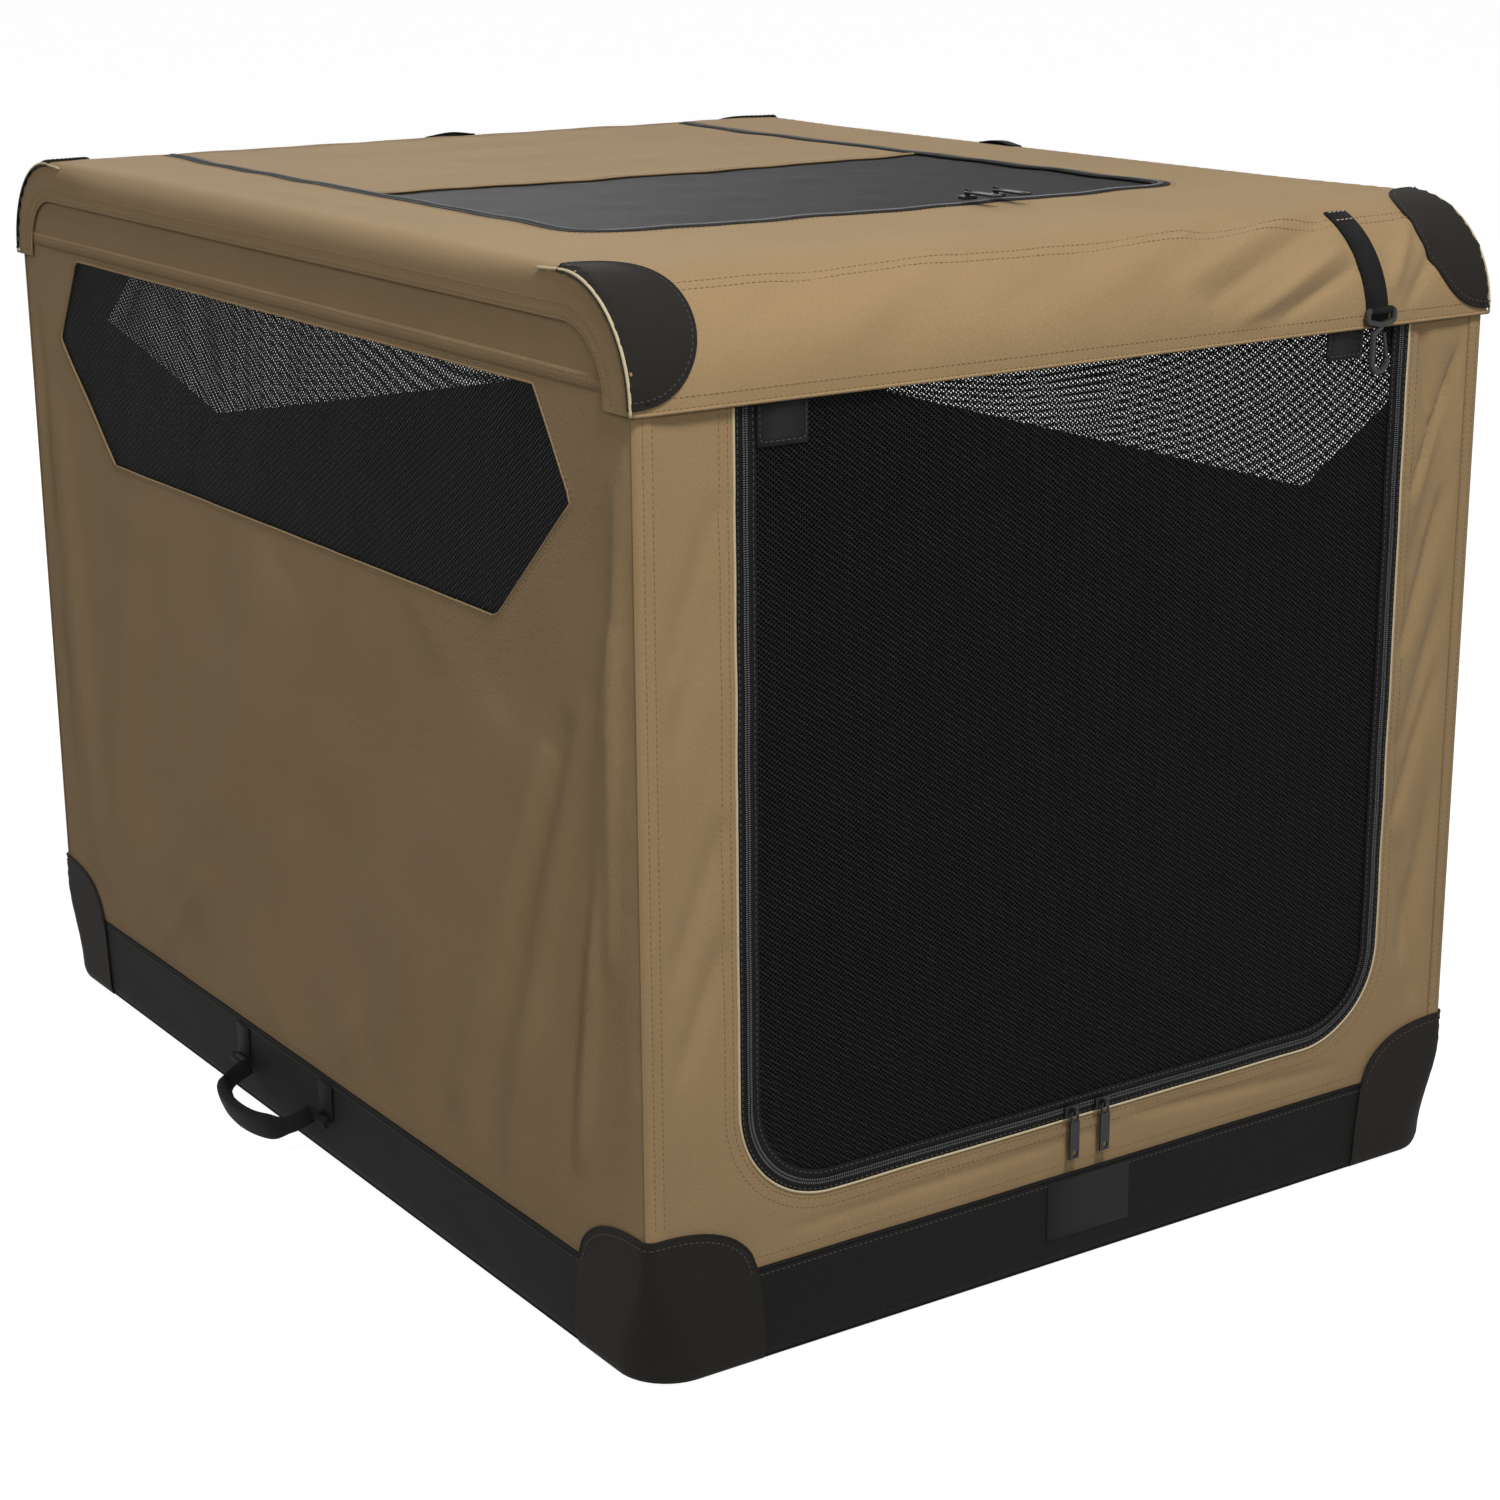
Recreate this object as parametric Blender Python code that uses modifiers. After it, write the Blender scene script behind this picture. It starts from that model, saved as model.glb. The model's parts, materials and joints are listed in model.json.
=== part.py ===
"""Soft folding dog crate: a cloth cabin on a steel frame that folds flat at four locking knees.

Metres, +Z up. The front door faces -Y and the carry handle is on the -X side.
The origin is on the underside of the base, below the middle of the crate.
"""

import math

import bmesh
import bpy
from mathutils import Matrix, Vector

# Overall size of the cloth cabin
WIDTH = 0.787
LENGTH = 1.067
HEIGHT = 0.787
HALF_W = WIDTH / 2
HALF_L = LENGTH / 2
GAP = 0.0003
OVERRUN = 0.01
MERGE_DISTANCE = GAP / 100

# Cloth layers, from the outside in: top shell, corner patches, then walls and base band
CLOTH = 0.0015
PATCH = 0.001
MESH = 0.0009
PATCH_OUT = CLOTH + GAP
WALL_OUT = PATCH_OUT + PATCH + GAP
WALL_IN = WALL_OUT + CLOTH

# Locking knee hinges, whose pins stand outside the middle of the legs
KNEE_OFFSET = 0.009
KNUCKLE_R = 0.005
KNUCKLE_HALF = 0.0085
TONGUE_HALF = 0.0027
PIN_R = 0.002
KNEE_REACH = 0.016
KNEE_FACE = 0.0008

# Steel frame
TUBE_R = 0.008
LEG_INSET = 0.0325
LOW_RAIL_Z = 0.045
HIGH_RAIL_DROP = 0.027
LOW_BEND_R = 0.03
HIGH_BEND_R = 0.075
EAR_INSET = 0.1235
EAR_LENGTH = 0.026
EAR_R = 0.012
EAR_DEPTH = 0.014
LEG_Y = HALF_L - LEG_INSET
EAR_Y = HALF_L - EAR_INSET
HIGH_RAIL_Z = HEIGHT - HIGH_RAIL_DROP
RAIL_X = HALF_W - WALL_IN - GAP - KNUCKLE_R - KNEE_OFFSET
KNEE_X = RAIL_X + KNEE_OFFSET
KNEE_Z = (LOW_RAIL_Z + HIGH_RAIL_Z) / 2
RING_Z = CLOTH + GAP + TUBE_R
BORE_R = TUBE_R + GAP

# Base tray, its band and the sewn corner patches
BAND_HEIGHT = 0.072
BASE_CORNER_R = 0.042
PATCH_HEIGHT = 0.118
PATCH_FRONT = 0.084
PATCH_SIDE = 0.095
PATCH_LIFT = 0.001
NOTCH = 0.047
PATCH_STEPS = 6
DOME_POWER = 2.6

# Top shell: one cloth that wraps front, top and rear, with side flanges
TOP_BEND_R = 0.085
HEM_DROP = 0.088
FLANGE_WIDTH = 0.035
CAP_WIDTH = 0.062
CAP_REACH = 0.069
BEND_Y = HALF_L - TOP_BEND_R
BEND_Z = HEIGHT - TOP_BEND_R
HEM_Z = HEIGHT - HEM_DROP
FLANGE_Z = HEIGHT - FLANGE_WIDTH

# Walls: the front and rear ones turn the corner, and the side skins stop short of them
CREASE_HALF = 0.082
PANEL_LAP = 0.016
RETURN = 0.0085
PANEL_TOP_Z = HEM_Z + PANEL_LAP
RETURN_TOP_Z = BEND_Z
SKIN_Y = HALF_L - WALL_OUT - RETURN - GAP

# Mesh windows: hexagons with a level top and bottom, by how far they stay from the crate's ends
WINDOW_TOP_DROP = 0.084
WINDOW_MID_DROP = 0.073
WINDOW_RISE = 0.0455
SIDE_TOP_INSET = 0.1315
SIDE_MID_INSET = 0.0845
SIDE_LOW_INSET = 0.1915
REAR_TOP_INSET = 0.1255
REAR_MID_INSET = 0.0815
REAR_LOW_INSET = 0.1875
WINDOW_TOP_Z = HEIGHT - WINDOW_TOP_DROP
WINDOW_MID_Z = WINDOW_TOP_Z - WINDOW_MID_DROP
WINDOW_LOW_Z = KNEE_Z + CREASE_HALF + WINDOW_RISE
SIDE_WINDOW = (HALF_L - SIDE_TOP_INSET, HALF_L - SIDE_MID_INSET, HALF_L - SIDE_LOW_INSET)
REAR_WINDOW = (HALF_W - REAR_TOP_INSET, HALF_W - REAR_MID_INSET, HALF_W - REAR_LOW_INSET)

# Front door, zipped on three sides and hinged under the hem
DOOR_MARGIN = 0.0825
DOOR_RISE = 0.046
DOOR_HINGE_DROP = 0.0005
DOOR_CORNER_R = 0.078
ZIP_TAPE = 0.008
DOOR_BORDER = 0.009
DOOR_HALF = HALF_W - DOOR_MARGIN
DOOR_LOW_Z = BAND_HEIGHT + DOOR_RISE
DOOR_HINGE_Z = HEM_Z - DOOR_HINGE_DROP

# Top door, cloth at the rear and mesh at the front
TOP_DOOR_MARGIN = 0.1085
TOP_DOOR_FRONT_MARGIN = 0.2335
TOP_DOOR_REAR_MARGIN = 0.0935
TOP_DOOR_MESH_LENGTH = 0.35
TOP_DOOR_CORNER_R = 0.03
TOP_DOOR_HALF = HALF_W - TOP_DOOR_MARGIN
TOP_DOOR_FRONT_Y = -HALF_L + TOP_DOOR_FRONT_MARGIN
TOP_DOOR_REAR_Y = HALF_L - TOP_DOOR_REAR_MARGIN
TOP_DOOR_SPLIT_Y = TOP_DOOR_FRONT_Y + TOP_DOOR_MESH_LENGTH

# Zip sliders and their pulls
SLIDER_LENGTH = 0.013
SLIDER_WIDTH = 0.009
SLIDER_HEIGHT = 0.0032
SLIDER_ROUND = 0.0008
LUG_R = 0.0028
LUG_BORE_R = 0.0016
LUG_LENGTH = 0.003
PULL_LENGTH = 0.030
PULL_WIDTH = 0.009
PULL_THICKNESS = 0.0016
PULL_HOLE_R = 0.0026
PULL_WIRE_R = 0.0011
PULL_LOOP_LENGTH = 0.0084
FRONT_LEFT_SLIDER_X = -0.010
FRONT_RIGHT_SLIDER_X = 0.020
TOP_LEFT_SLIDER_X = 0.066
TOP_RIGHT_SLIDER_X = 0.094

# Strap and snap hook that hold the rolled front door
STRAP_INSET = 0.041
STRAP_WIDTH = 0.022
WEBBING = 0.0016
STRAP_LOOP_RISE = 0.013
STRAP_START_DEG = 74.0
STRAP_WRAP_DEG = 270.0
HOOK_WIRE_R = 0.0025
HOOK_EYE_R = 0.008
HOOK_LENGTH = 0.036
HOOK_MOUTH_R = 0.0075
HOOK_SHOULDER = 0.0075
GATE_R = 0.0014
STRAP_PIVOT_R = TOP_BEND_R + GAP + WEBBING / 2
STRAP_X = DOOR_HALF - STRAP_INSET
STRAP_LOW_Z = HEM_Z + STRAP_LOOP_RISE
HOOK_TOP = HOOK_EYE_R + HOOK_WIRE_R

# Carry handle on the left of the base
HANDLE_Y = 0.052
HANDLE_HALF = 0.080
HANDLE_Z = 0.036
ANCHOR_WIDTH = 0.026
ANCHOR_HEIGHT = 0.034
ANCHOR_EYE_R = 0.0055
ANCHOR_BORE_R = 0.0031
HANDLE_ROD_R = 0.0027
ROD_CLEAR = 0.006
HANDLE_OUT = 0.036
HANDLE_DROP = 0.016
GRIP_R = 0.011
BOW_POWER = 0.6
GRIP_POWER = 3
ANCHOR_FACE = HALF_W - WALL_OUT + GAP
HANDLE_X = -ANCHOR_FACE - ANCHOR_EYE_R

# Webbing loops on the top edges
LOOP_LENGTH = 0.048
LOOP_WIDTH = 0.020
LOOP_RISE = 0.0036
LOOP_POWER = 0.7
REAR_LOOP_X = 0.024
REAR_LOOP_DEG = 76.0
RIGHT_LOOP_Y = 0.060

# Fineness of round shapes
ARC_STEPS = 8
SMALL_ARC_STEPS = 3
ROUND_SIDES = 24
SMALL_SIDES = 16
TUBE_RESOLUTION = 3
WIRE_RESOLUTION = 2
SHARP_DEG = 35.0

COLOURS = {
    "tan_cloth": ((0.37, 0.25, 0.12), 0.85, 0.0),
    "black_cloth": ((0.013, 0.012, 0.011), 0.9, 0.0),
    "black_mesh": ((0.006, 0.006, 0.006), 0.8, 0.0),
    "black_webbing": ((0.010, 0.010, 0.010), 0.7, 0.0),
    "frame_steel": ((0.05, 0.05, 0.055), 0.45, 0.6),
    "hinge_steel": ((0.35, 0.35, 0.36), 0.35, 1.0),
    "black_plastic": ((0.012, 0.012, 0.012), 0.4, 0.0),
    "zip_metal": ((0.03, 0.03, 0.03), 0.35, 0.8),
}


def clear_scene():
    for obj in list(bpy.data.objects):
        bpy.data.objects.remove(obj, do_unlink=True)
    for collection in list(bpy.data.collections):
        bpy.data.collections.remove(collection)


def new_collection(name):
    collection = bpy.data.collections.new(name)
    bpy.context.scene.collection.children.link(collection)
    return collection


clear_scene()
CRATE = new_collection("soft_dog_crate")
CUTTERS = new_collection("cutters")


def make_material(name):
    colour, roughness, metallic = COLOURS[name]
    material = bpy.data.materials.new(name)
    material.use_nodes = True
    shader = material.node_tree.nodes["Principled BSDF"]
    shader.inputs["Base Color"].default_value = (*colour, 1)
    shader.inputs["Roughness"].default_value = roughness
    shader.inputs["Metallic"].default_value = metallic
    material.diffuse_color = (*colour, 1)
    return material


MATERIALS = {name: make_material(name) for name in COLOURS}


# Shapes that several pieces share


def add_object(name, data, material):
    obj = bpy.data.objects.new(name, data)
    obj.data.materials.append(MATERIALS[material])
    CRATE.objects.link(obj)
    return obj


def mesh_object(name, bm, material):
    bmesh.ops.recalc_face_normals(bm, faces=bm.faces)
    mesh = bpy.data.meshes.new(name)
    bm.to_mesh(mesh)
    bm.free()
    shade_round(mesh)
    return add_object(name, mesh, material)


def shade_round(mesh):
    mesh.shade_smooth()
    mesh.set_sharp_from_angle(angle=math.radians(SHARP_DEG))


def as_cutter(obj):
    CRATE.objects.unlink(obj)
    CUTTERS.objects.link(obj)
    obj.hide_render = True
    obj.display_type = "WIRE"
    return obj


def boolean(obj, other, operation):
    if other.name not in CUTTERS.objects:
        as_cutter(other)
    modifier = obj.modifiers.new(operation.lower() + "_" + other.name, "BOOLEAN")
    modifier.operation = operation
    modifier.solver = "EXACT"
    modifier.object = other
    return obj


def solidify(obj, thickness, offset):
    """Offset -1 grows the sheet against its normals, +1 along them."""
    modifier = obj.modifiers.new("thickness", "SOLIDIFY")
    modifier.thickness = thickness
    modifier.offset = offset
    modifier.use_even_offset = True
    return obj


def box(name, low, high, material="frame_steel"):
    """A block between two opposite corners."""
    bm = bmesh.new()
    bmesh.ops.create_cube(bm, size=1.0)
    low = Vector(low)
    high = Vector(high)
    size = Vector([abs(length) for length in high - low])
    bmesh.ops.transform(bm, verts=bm.verts, matrix=Matrix.Diagonal((*size, 1)))
    bmesh.ops.translate(bm, verts=bm.verts, vec=(low + high) / 2)
    return mesh_object(name, bm, material)


def prism(name, outline, along, material="frame_steel"):
    """A bar whose section is the outline, drawn out by the vector."""
    bm = bmesh.new()
    face = bm.faces.new([bm.verts.new(point) for point in outline])
    drawn = bmesh.ops.extrude_face_region(bm, geom=[face])["geom"]
    moved = [item for item in drawn if isinstance(item, bmesh.types.BMVert)]
    bmesh.ops.translate(bm, verts=moved, vec=along)
    return mesh_object(name, bm, material)


def cylinder(name, centre, axis, radius, half_length, material="frame_steel", sides=ROUND_SIDES):
    bm = bmesh.new()
    bmesh.ops.create_cone(
        bm,
        cap_ends=True,
        segments=sides,
        radius1=radius,
        radius2=radius,
        depth=half_length * 2,
    )
    turn = Vector((0, 0, 1)).rotation_difference(Vector(axis)).to_matrix().to_4x4()
    bmesh.ops.transform(bm, verts=bm.verts, matrix=Matrix.Translation(centre) @ turn)
    return mesh_object(name, bm, material)


def rounded(points, radii, closed, steps=ARC_STEPS):
    """A flat path through the points, with an arc of the given radius at each corner."""
    path = []
    count = len(points)
    for index, point in enumerate(points):
        here = Vector(point)
        at_end = not closed and index in (0, count - 1)
        if at_end or not radii[index]:
            path.append(here)
            continue
        before = (Vector(points[index - 1]) - here).normalized()
        after = (Vector(points[(index + 1) % count]) - here).normalized()
        half = before.angle(after) / 2
        centre = here + (before + after).normalized() * (radii[index] / math.sin(half))
        start = here + before * (radii[index] / math.tan(half)) - centre
        turn = math.pi - 2 * half
        side = math.copysign(1, before.x * after.y - before.y * after.x)
        for step in range(steps + 1):
            angle = -side * turn * step / steps
            path.append(centre + Matrix.Rotation(angle, 2) @ start)
    return path


def tube(name, points, radius, material, cyclic=False, sizes=None, resolution=TUBE_RESOLUTION):
    """A round bar along the points; sizes, when given, are each point's share of the radius."""
    curve = bpy.data.curves.new(name, "CURVE")
    curve.dimensions = "3D"
    curve.bevel_depth = radius
    curve.bevel_resolution = resolution
    curve.use_fill_caps = True
    spline = curve.splines.new("POLY")
    spline.points.add(len(points) - 1)
    for index, point in enumerate(points):
        spline.points[index].co = (*point, 1)
        if sizes:
            spline.points[index].radius = sizes[index]
    spline.use_cyclic_u = cyclic
    return add_object(name, curve, material)


def as_mesh(curve):
    """The curve object as a mesh with welded caps, so that it can be cut or joined."""
    bpy.context.view_layer.update()
    graph = bpy.context.evaluated_depsgraph_get()
    mesh = bpy.data.meshes.new_from_object(curve.evaluated_get(graph))
    bm = bmesh.new()
    bm.from_mesh(mesh)
    bmesh.ops.remove_doubles(bm, verts=bm.verts, dist=MERGE_DISTANCE)
    bpy.data.meshes.remove(mesh)
    name = curve.name
    matrix = curve.matrix_world.copy()
    material = curve.data.materials[0].name
    bpy.data.objects.remove(curve, do_unlink=True)
    obj = mesh_object(name, bm, material)
    obj.matrix_world = matrix
    return obj


def tube_mesh(*args, **options):
    return as_mesh(tube(*args, **options))


FRONT_PLANE = Matrix.Rotation(math.pi / 2, 4, "X")
SIDE_PLANE = Matrix.Rotation(math.pi / 2, 4, "Z") @ Matrix.Rotation(math.pi / 2, 4, "X")
TOP_PLANE = Matrix.Identity(4)


def plate(name, outlines, plane, middle, thickness, material):
    """A flat piece: the first outline is its edge and the others are holes.

    On the front plane an outline holds (x, z), on the side plane (y, z) and on top (x, y).
    """
    curve = bpy.data.curves.new(name, "CURVE")
    curve.dimensions = "2D"
    curve.fill_mode = "BOTH"
    curve.extrude = thickness / 2
    for outline in outlines:
        spline = curve.splines.new("POLY")
        spline.points.add(len(outline) - 1)
        for index, point in enumerate(outline):
            spline.points[index].co = (point[0], point[1], 0, 1)
        spline.use_cyclic_u = True
    obj = add_object(name, curve, material)
    obj.matrix_world = Matrix.Translation(middle) @ plane
    return obj


def open_sheet(name, bm, material):
    """A sheet whose faces keep the side that they were given."""
    mesh = bpy.data.meshes.new(name)
    bm.to_mesh(mesh)
    bm.free()
    shade_round(mesh)
    return add_object(name, mesh, material)


def swept_sheet(name, path, sweep, thickness, offset, material):
    """A cloth strip: the path, drawn across by the sweep vector, then thickened."""
    bm = bmesh.new()
    first = [bm.verts.new(point) for point in path]
    second = [bm.verts.new(Vector(point) + Vector(sweep)) for point in path]
    for index in range(len(path) - 1):
        bm.faces.new((first[index], first[index + 1], second[index + 1], second[index]))
    return solidify(open_sheet(name, bm, material), thickness, offset)


def mirrored(points):
    return [(-x, z) for x, z in points]


def hexagon(top, middle, low):
    """The window outline, as pairs along and up."""
    right = [(low, WINDOW_LOW_Z), (middle, WINDOW_MID_Z), (top, WINDOW_TOP_Z)]
    return right + mirrored(right)[::-1]


def grown(outline, distance):
    """A convex outline moved outwards by the distance, corner by corner."""
    moved = []
    count = len(outline)
    for index in range(count):
        here = Vector(outline[index])
        before = (here - Vector(outline[index - 1])).normalized()
        after = (Vector(outline[(index + 1) % count]) - here).normalized()
        normal = (Vector((before.y, -before.x)) + Vector((after.y, -after.x))).normalized()
        moved.append(here + normal * (distance / normal.dot(Vector((before.y, -before.x)))))
    return moved


# Base: cloth tray, steel ring and corner patches


def plan_corners(inset):
    x = HALF_W - inset
    y = HALF_L - inset
    return [(-x, -y), (x, -y), (x, y), (-x, y)]


def base_tray():
    """A black cloth tray: the floor and the band are one piece, open at the top."""
    radius = BASE_CORNER_R
    outline = rounded(plan_corners(WALL_OUT), [radius] * 4, True)
    bm = bmesh.new()
    floor = [bm.verts.new((*point, 0)) for point in outline]
    rim = [bm.verts.new((*point, BAND_HEIGHT)) for point in outline]
    bm.faces.new(floor[::-1])
    for index in range(len(outline)):
        after = (index + 1) % len(outline)
        bm.faces.new((floor[index], floor[after], rim[after], rim[index]))
    return solidify(open_sheet("base_tray", bm, "black_cloth"), CLOTH, -1)


def base_frame():
    """The steel ring in the tray, with four ears that carry the lower rails."""
    inset = WALL_IN + GAP + TUBE_R
    corner = BASE_CORNER_R - inset + WALL_OUT
    ring = rounded(plan_corners(inset), [corner] * 4, True)
    frame = tube_mesh(
        "base_frame", [(x, y, RING_Z) for x, y in ring], TUBE_R, "frame_steel", cyclic=True
    )
    for side in (-1, 1):
        for end in (-1, 1):
            name = f"base_ear_{'lr'[side > 0]}{'fr'[end > 0]}"
            block = box(
                name + "_block",
                (side * RAIL_X - EAR_DEPTH / 2, end * EAR_Y - EAR_LENGTH / 2, RING_Z),
                (side * RAIL_X + EAR_DEPTH / 2, end * EAR_Y + EAR_LENGTH / 2, LOW_RAIL_Z),
            )
            middle = (side * RAIL_X, end * EAR_Y, LOW_RAIL_Z)
            barrel = cylinder(name + "_barrel", middle, (0, 1, 0), EAR_R, EAR_LENGTH / 2)
            bore = cylinder(name + "_bore", middle, (0, 1, 0), BORE_R, EAR_LENGTH)
            boolean(frame, block, "UNION")
            boolean(frame, barrel, "UNION")
            boolean(frame, bore, "DIFFERENCE")
    return frame


def corner_patch(name, side, end):
    """A black patch round a base corner, domed at its top edge."""
    outer = rounded(
        [
            (-HALF_W + PATCH_OUT, -HALF_L + PATCH_SIDE),
            (-HALF_W + PATCH_OUT, -HALF_L + PATCH_OUT),
            (-HALF_W + PATCH_FRONT, -HALF_L + PATCH_OUT),
        ],
        [0, BASE_CORNER_R + PATCH + GAP, 0],
        False,
    )
    shares = [step / PATCH_STEPS for step in range(PATCH_STEPS + 1)]
    before = [outer[0].lerp(outer[1], share) for share in shares[:-1]]
    after = [outer[-2].lerp(outer[-1], share) for share in shares[1:]]
    path = before + outer[1:-1] + after
    lengths = [0.0]
    for index in range(1, len(path)):
        lengths.append(lengths[-1] + (path[index] - path[index - 1]).length)
    bm = bmesh.new()
    low_row = []
    high_row = []
    for point, length in zip(path, lengths):
        share = 2 * length / lengths[-1] - 1
        dome = math.sqrt(max(0.0, 1 - abs(share) ** DOME_POWER))
        top = BAND_HEIGHT + (PATCH_HEIGHT - BAND_HEIGHT) * dome
        x = -side * point.x
        y = -end * point.y
        low_row.append(bm.verts.new((x, y, PATCH_LIFT)))
        high_row.append(bm.verts.new((x, y, top)))
    for index in range(len(path) - 1):
        corners = [low_row[index], low_row[index + 1], high_row[index + 1], high_row[index]]
        bm.faces.new(corners if side * end > 0 else corners[::-1])
    return solidify(open_sheet(name, bm, "black_cloth"), PATCH, -1)


# Frame: lower and upper half hoops on each side, and the knees between them


def lower_hoop(name, side):
    leg_top = KNEE_Z - KNEE_REACH
    path = rounded(
        [(-LEG_Y, leg_top), (-LEG_Y, LOW_RAIL_Z), (LEG_Y, LOW_RAIL_Z), (LEG_Y, leg_top)],
        [0, LOW_BEND_R, LOW_BEND_R, 0],
        False,
    )
    return tube(name, [(side * RAIL_X, y, z) for y, z in path], TUBE_R, "frame_steel")


def upper_hoop(name, side):
    leg_low = KNEE_Z + KNEE_REACH
    path = rounded(
        [(-LEG_Y, leg_low), (-LEG_Y, HIGH_RAIL_Z), (LEG_Y, HIGH_RAIL_Z), (LEG_Y, leg_low)],
        [0, HIGH_BEND_R, HIGH_BEND_R, 0],
        False,
    )
    return tube(name, [(side * RAIL_X, y, z) for y, z in path], TUBE_R, "frame_steel")


def knee_half(name, side, end, up):
    """One half of a knee: a plug on the leg's end and its share of the hinge barrel.

    The lower half holds the two outer knuckles and the pin, the upper half the middle one.
    """
    leg_y = end * LEG_Y
    near = KNEE_Z + up * KNEE_FACE
    far = KNEE_Z + up * (KNEE_REACH - GAP)
    knee = Vector((side * KNEE_X, leg_y, KNEE_Z))
    plug = cylinder(
        name,
        (side * RAIL_X, leg_y, (near + far) / 2),
        (0, 0, 1),
        TUBE_R,
        abs(far - near) / 2,
        "hinge_steel",
    )
    relief = cylinder(name + "_relief", knee, (0, 1, 0), KNUCKLE_R + GAP, KNUCKLE_HALF + OVERRUN)
    boolean(plug, relief, "DIFFERENCE")
    if up > 0:
        slots = [(-TONGUE_HALF, TONGUE_HALF)]
    else:
        start = TONGUE_HALF + GAP
        slots = [(-KNUCKLE_HALF, -start), (start, KNUCKLE_HALF)]
    for index, (low, high) in enumerate(slots):
        middle = knee + Vector((0, (low + high) / 2, 0))
        half = (high - low) / 2
        boolean(
            plug,
            cylinder(f"{name}_knuckle{index}", middle, (0, 1, 0), KNUCKLE_R, half),
            "UNION",
        )
        xs = sorted((side * RAIL_X, side * (KNEE_X - (KNEE_OFFSET - TUBE_R))))
        zs = sorted((near, KNEE_Z + up * (KNUCKLE_R + KNEE_OFFSET - TUBE_R)))
        web = box(
            f"{name}_web{index}",
            (xs[0], leg_y + low, zs[0]),
            (xs[1], leg_y + high, zs[1]),
        )
        boolean(plug, web, "UNION")
    if up > 0:
        bore = cylinder(name + "_bore", knee, (0, 1, 0), PIN_R + GAP, KNUCKLE_HALF)
        boolean(plug, bore, "DIFFERENCE")
    else:
        pin = cylinder(name + "_pin", knee, (0, 1, 0), PIN_R, KNUCKLE_HALF - GAP, sides=SMALL_SIDES)
        boolean(plug, pin, "UNION")
    return plug


def top_bar(name, end):
    """A spreader between the two upper rails, with a sleeve on each rail."""
    reach = RAIL_X - EAR_R / 2
    bar = tube_mesh(
        name,
        [(-reach, end * EAR_Y, HIGH_RAIL_Z), (reach, end * EAR_Y, HIGH_RAIL_Z)],
        TUBE_R,
        "frame_steel",
    )
    for side in (-1, 1):
        middle = (side * RAIL_X, end * EAR_Y, HIGH_RAIL_Z)
        label = f"{name}_{'lr'[side > 0]}"
        sleeve = cylinder(label + "_sleeve", middle, (0, 1, 0), EAR_R, EAR_LENGTH / 2)
        bore = cylinder(label + "_bore", middle, (0, 1, 0), BORE_R, EAR_LENGTH)
        boolean(bar, sleeve, "UNION")
        boolean(bar, bore, "DIFFERENCE")
    return bar


# Side walls: a lower skin, a crease strip at the knees, and an upper skin with a window


def side_plate(name, side, outlines, thickness, material, depth=WALL_OUT):
    middle = (side * (HALF_W - depth - thickness / 2), 0, 0)
    return plate(name, outlines, SIDE_PLANE, middle, thickness, material)


def lower_skin(name, side):
    low = BAND_HEIGHT + GAP
    top = KNEE_Z - CREASE_HALF
    notch_y = HALF_L - NOTCH
    notch_z = PATCH_HEIGHT + GAP
    right = [(notch_y, low), (notch_y, notch_z), (SKIN_Y, notch_z), (SKIN_Y, top)]
    return side_plate(name, side, [right + mirrored(right)[::-1]], CLOTH, "tan_cloth")


def crease_strip(name, side):
    low = KNEE_Z - CREASE_HALF + GAP
    top = KNEE_Z + CREASE_HALF - GAP
    outline = [(-SKIN_Y, low), (SKIN_Y, low), (SKIN_Y, top), (-SKIN_Y, top)]
    return side_plate(name, side, [outline], CLOTH, "tan_cloth")


def upper_skin(name, side):
    radius = SKIN_Y - BEND_Y
    top = FLANGE_Z - GAP
    last = math.asin((top - BEND_Z) / radius)
    right = [(SKIN_Y, KNEE_Z + CREASE_HALF)]
    for step in range(ARC_STEPS + 1):
        angle = last * step / ARC_STEPS
        right.append((BEND_Y + radius * math.cos(angle), BEND_Z + radius * math.sin(angle)))
    hole = hexagon(*SIDE_WINDOW)
    return side_plate(name, side, [right + mirrored(right)[::-1], hole], CLOTH, "tan_cloth")


def side_window(name, side):
    hole = hexagon(*SIDE_WINDOW)
    depth = WALL_OUT + (CLOTH - MESH) / 2
    return side_plate(name, side, [grown(hole, -GAP)], MESH, "black_mesh", depth)


# Front and rear walls


def door_outline(inset, top):
    """The zip's route: straight sides and a level bottom with round corners."""
    half = DOOR_HALF - inset
    low = DOOR_LOW_Z + inset
    radius = DOOR_CORNER_R - inset
    points = [(-half, top), (-half, low), (half, low), (half, top)]
    return rounded(points, [0, radius, radius, 0], False)


def front_plate(name, outlines, thickness, material, depth=WALL_OUT):
    middle = (0, -HALF_L + depth + thickness / 2, 0)
    return plate(name, outlines, FRONT_PLANE, middle, thickness, material)


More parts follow.
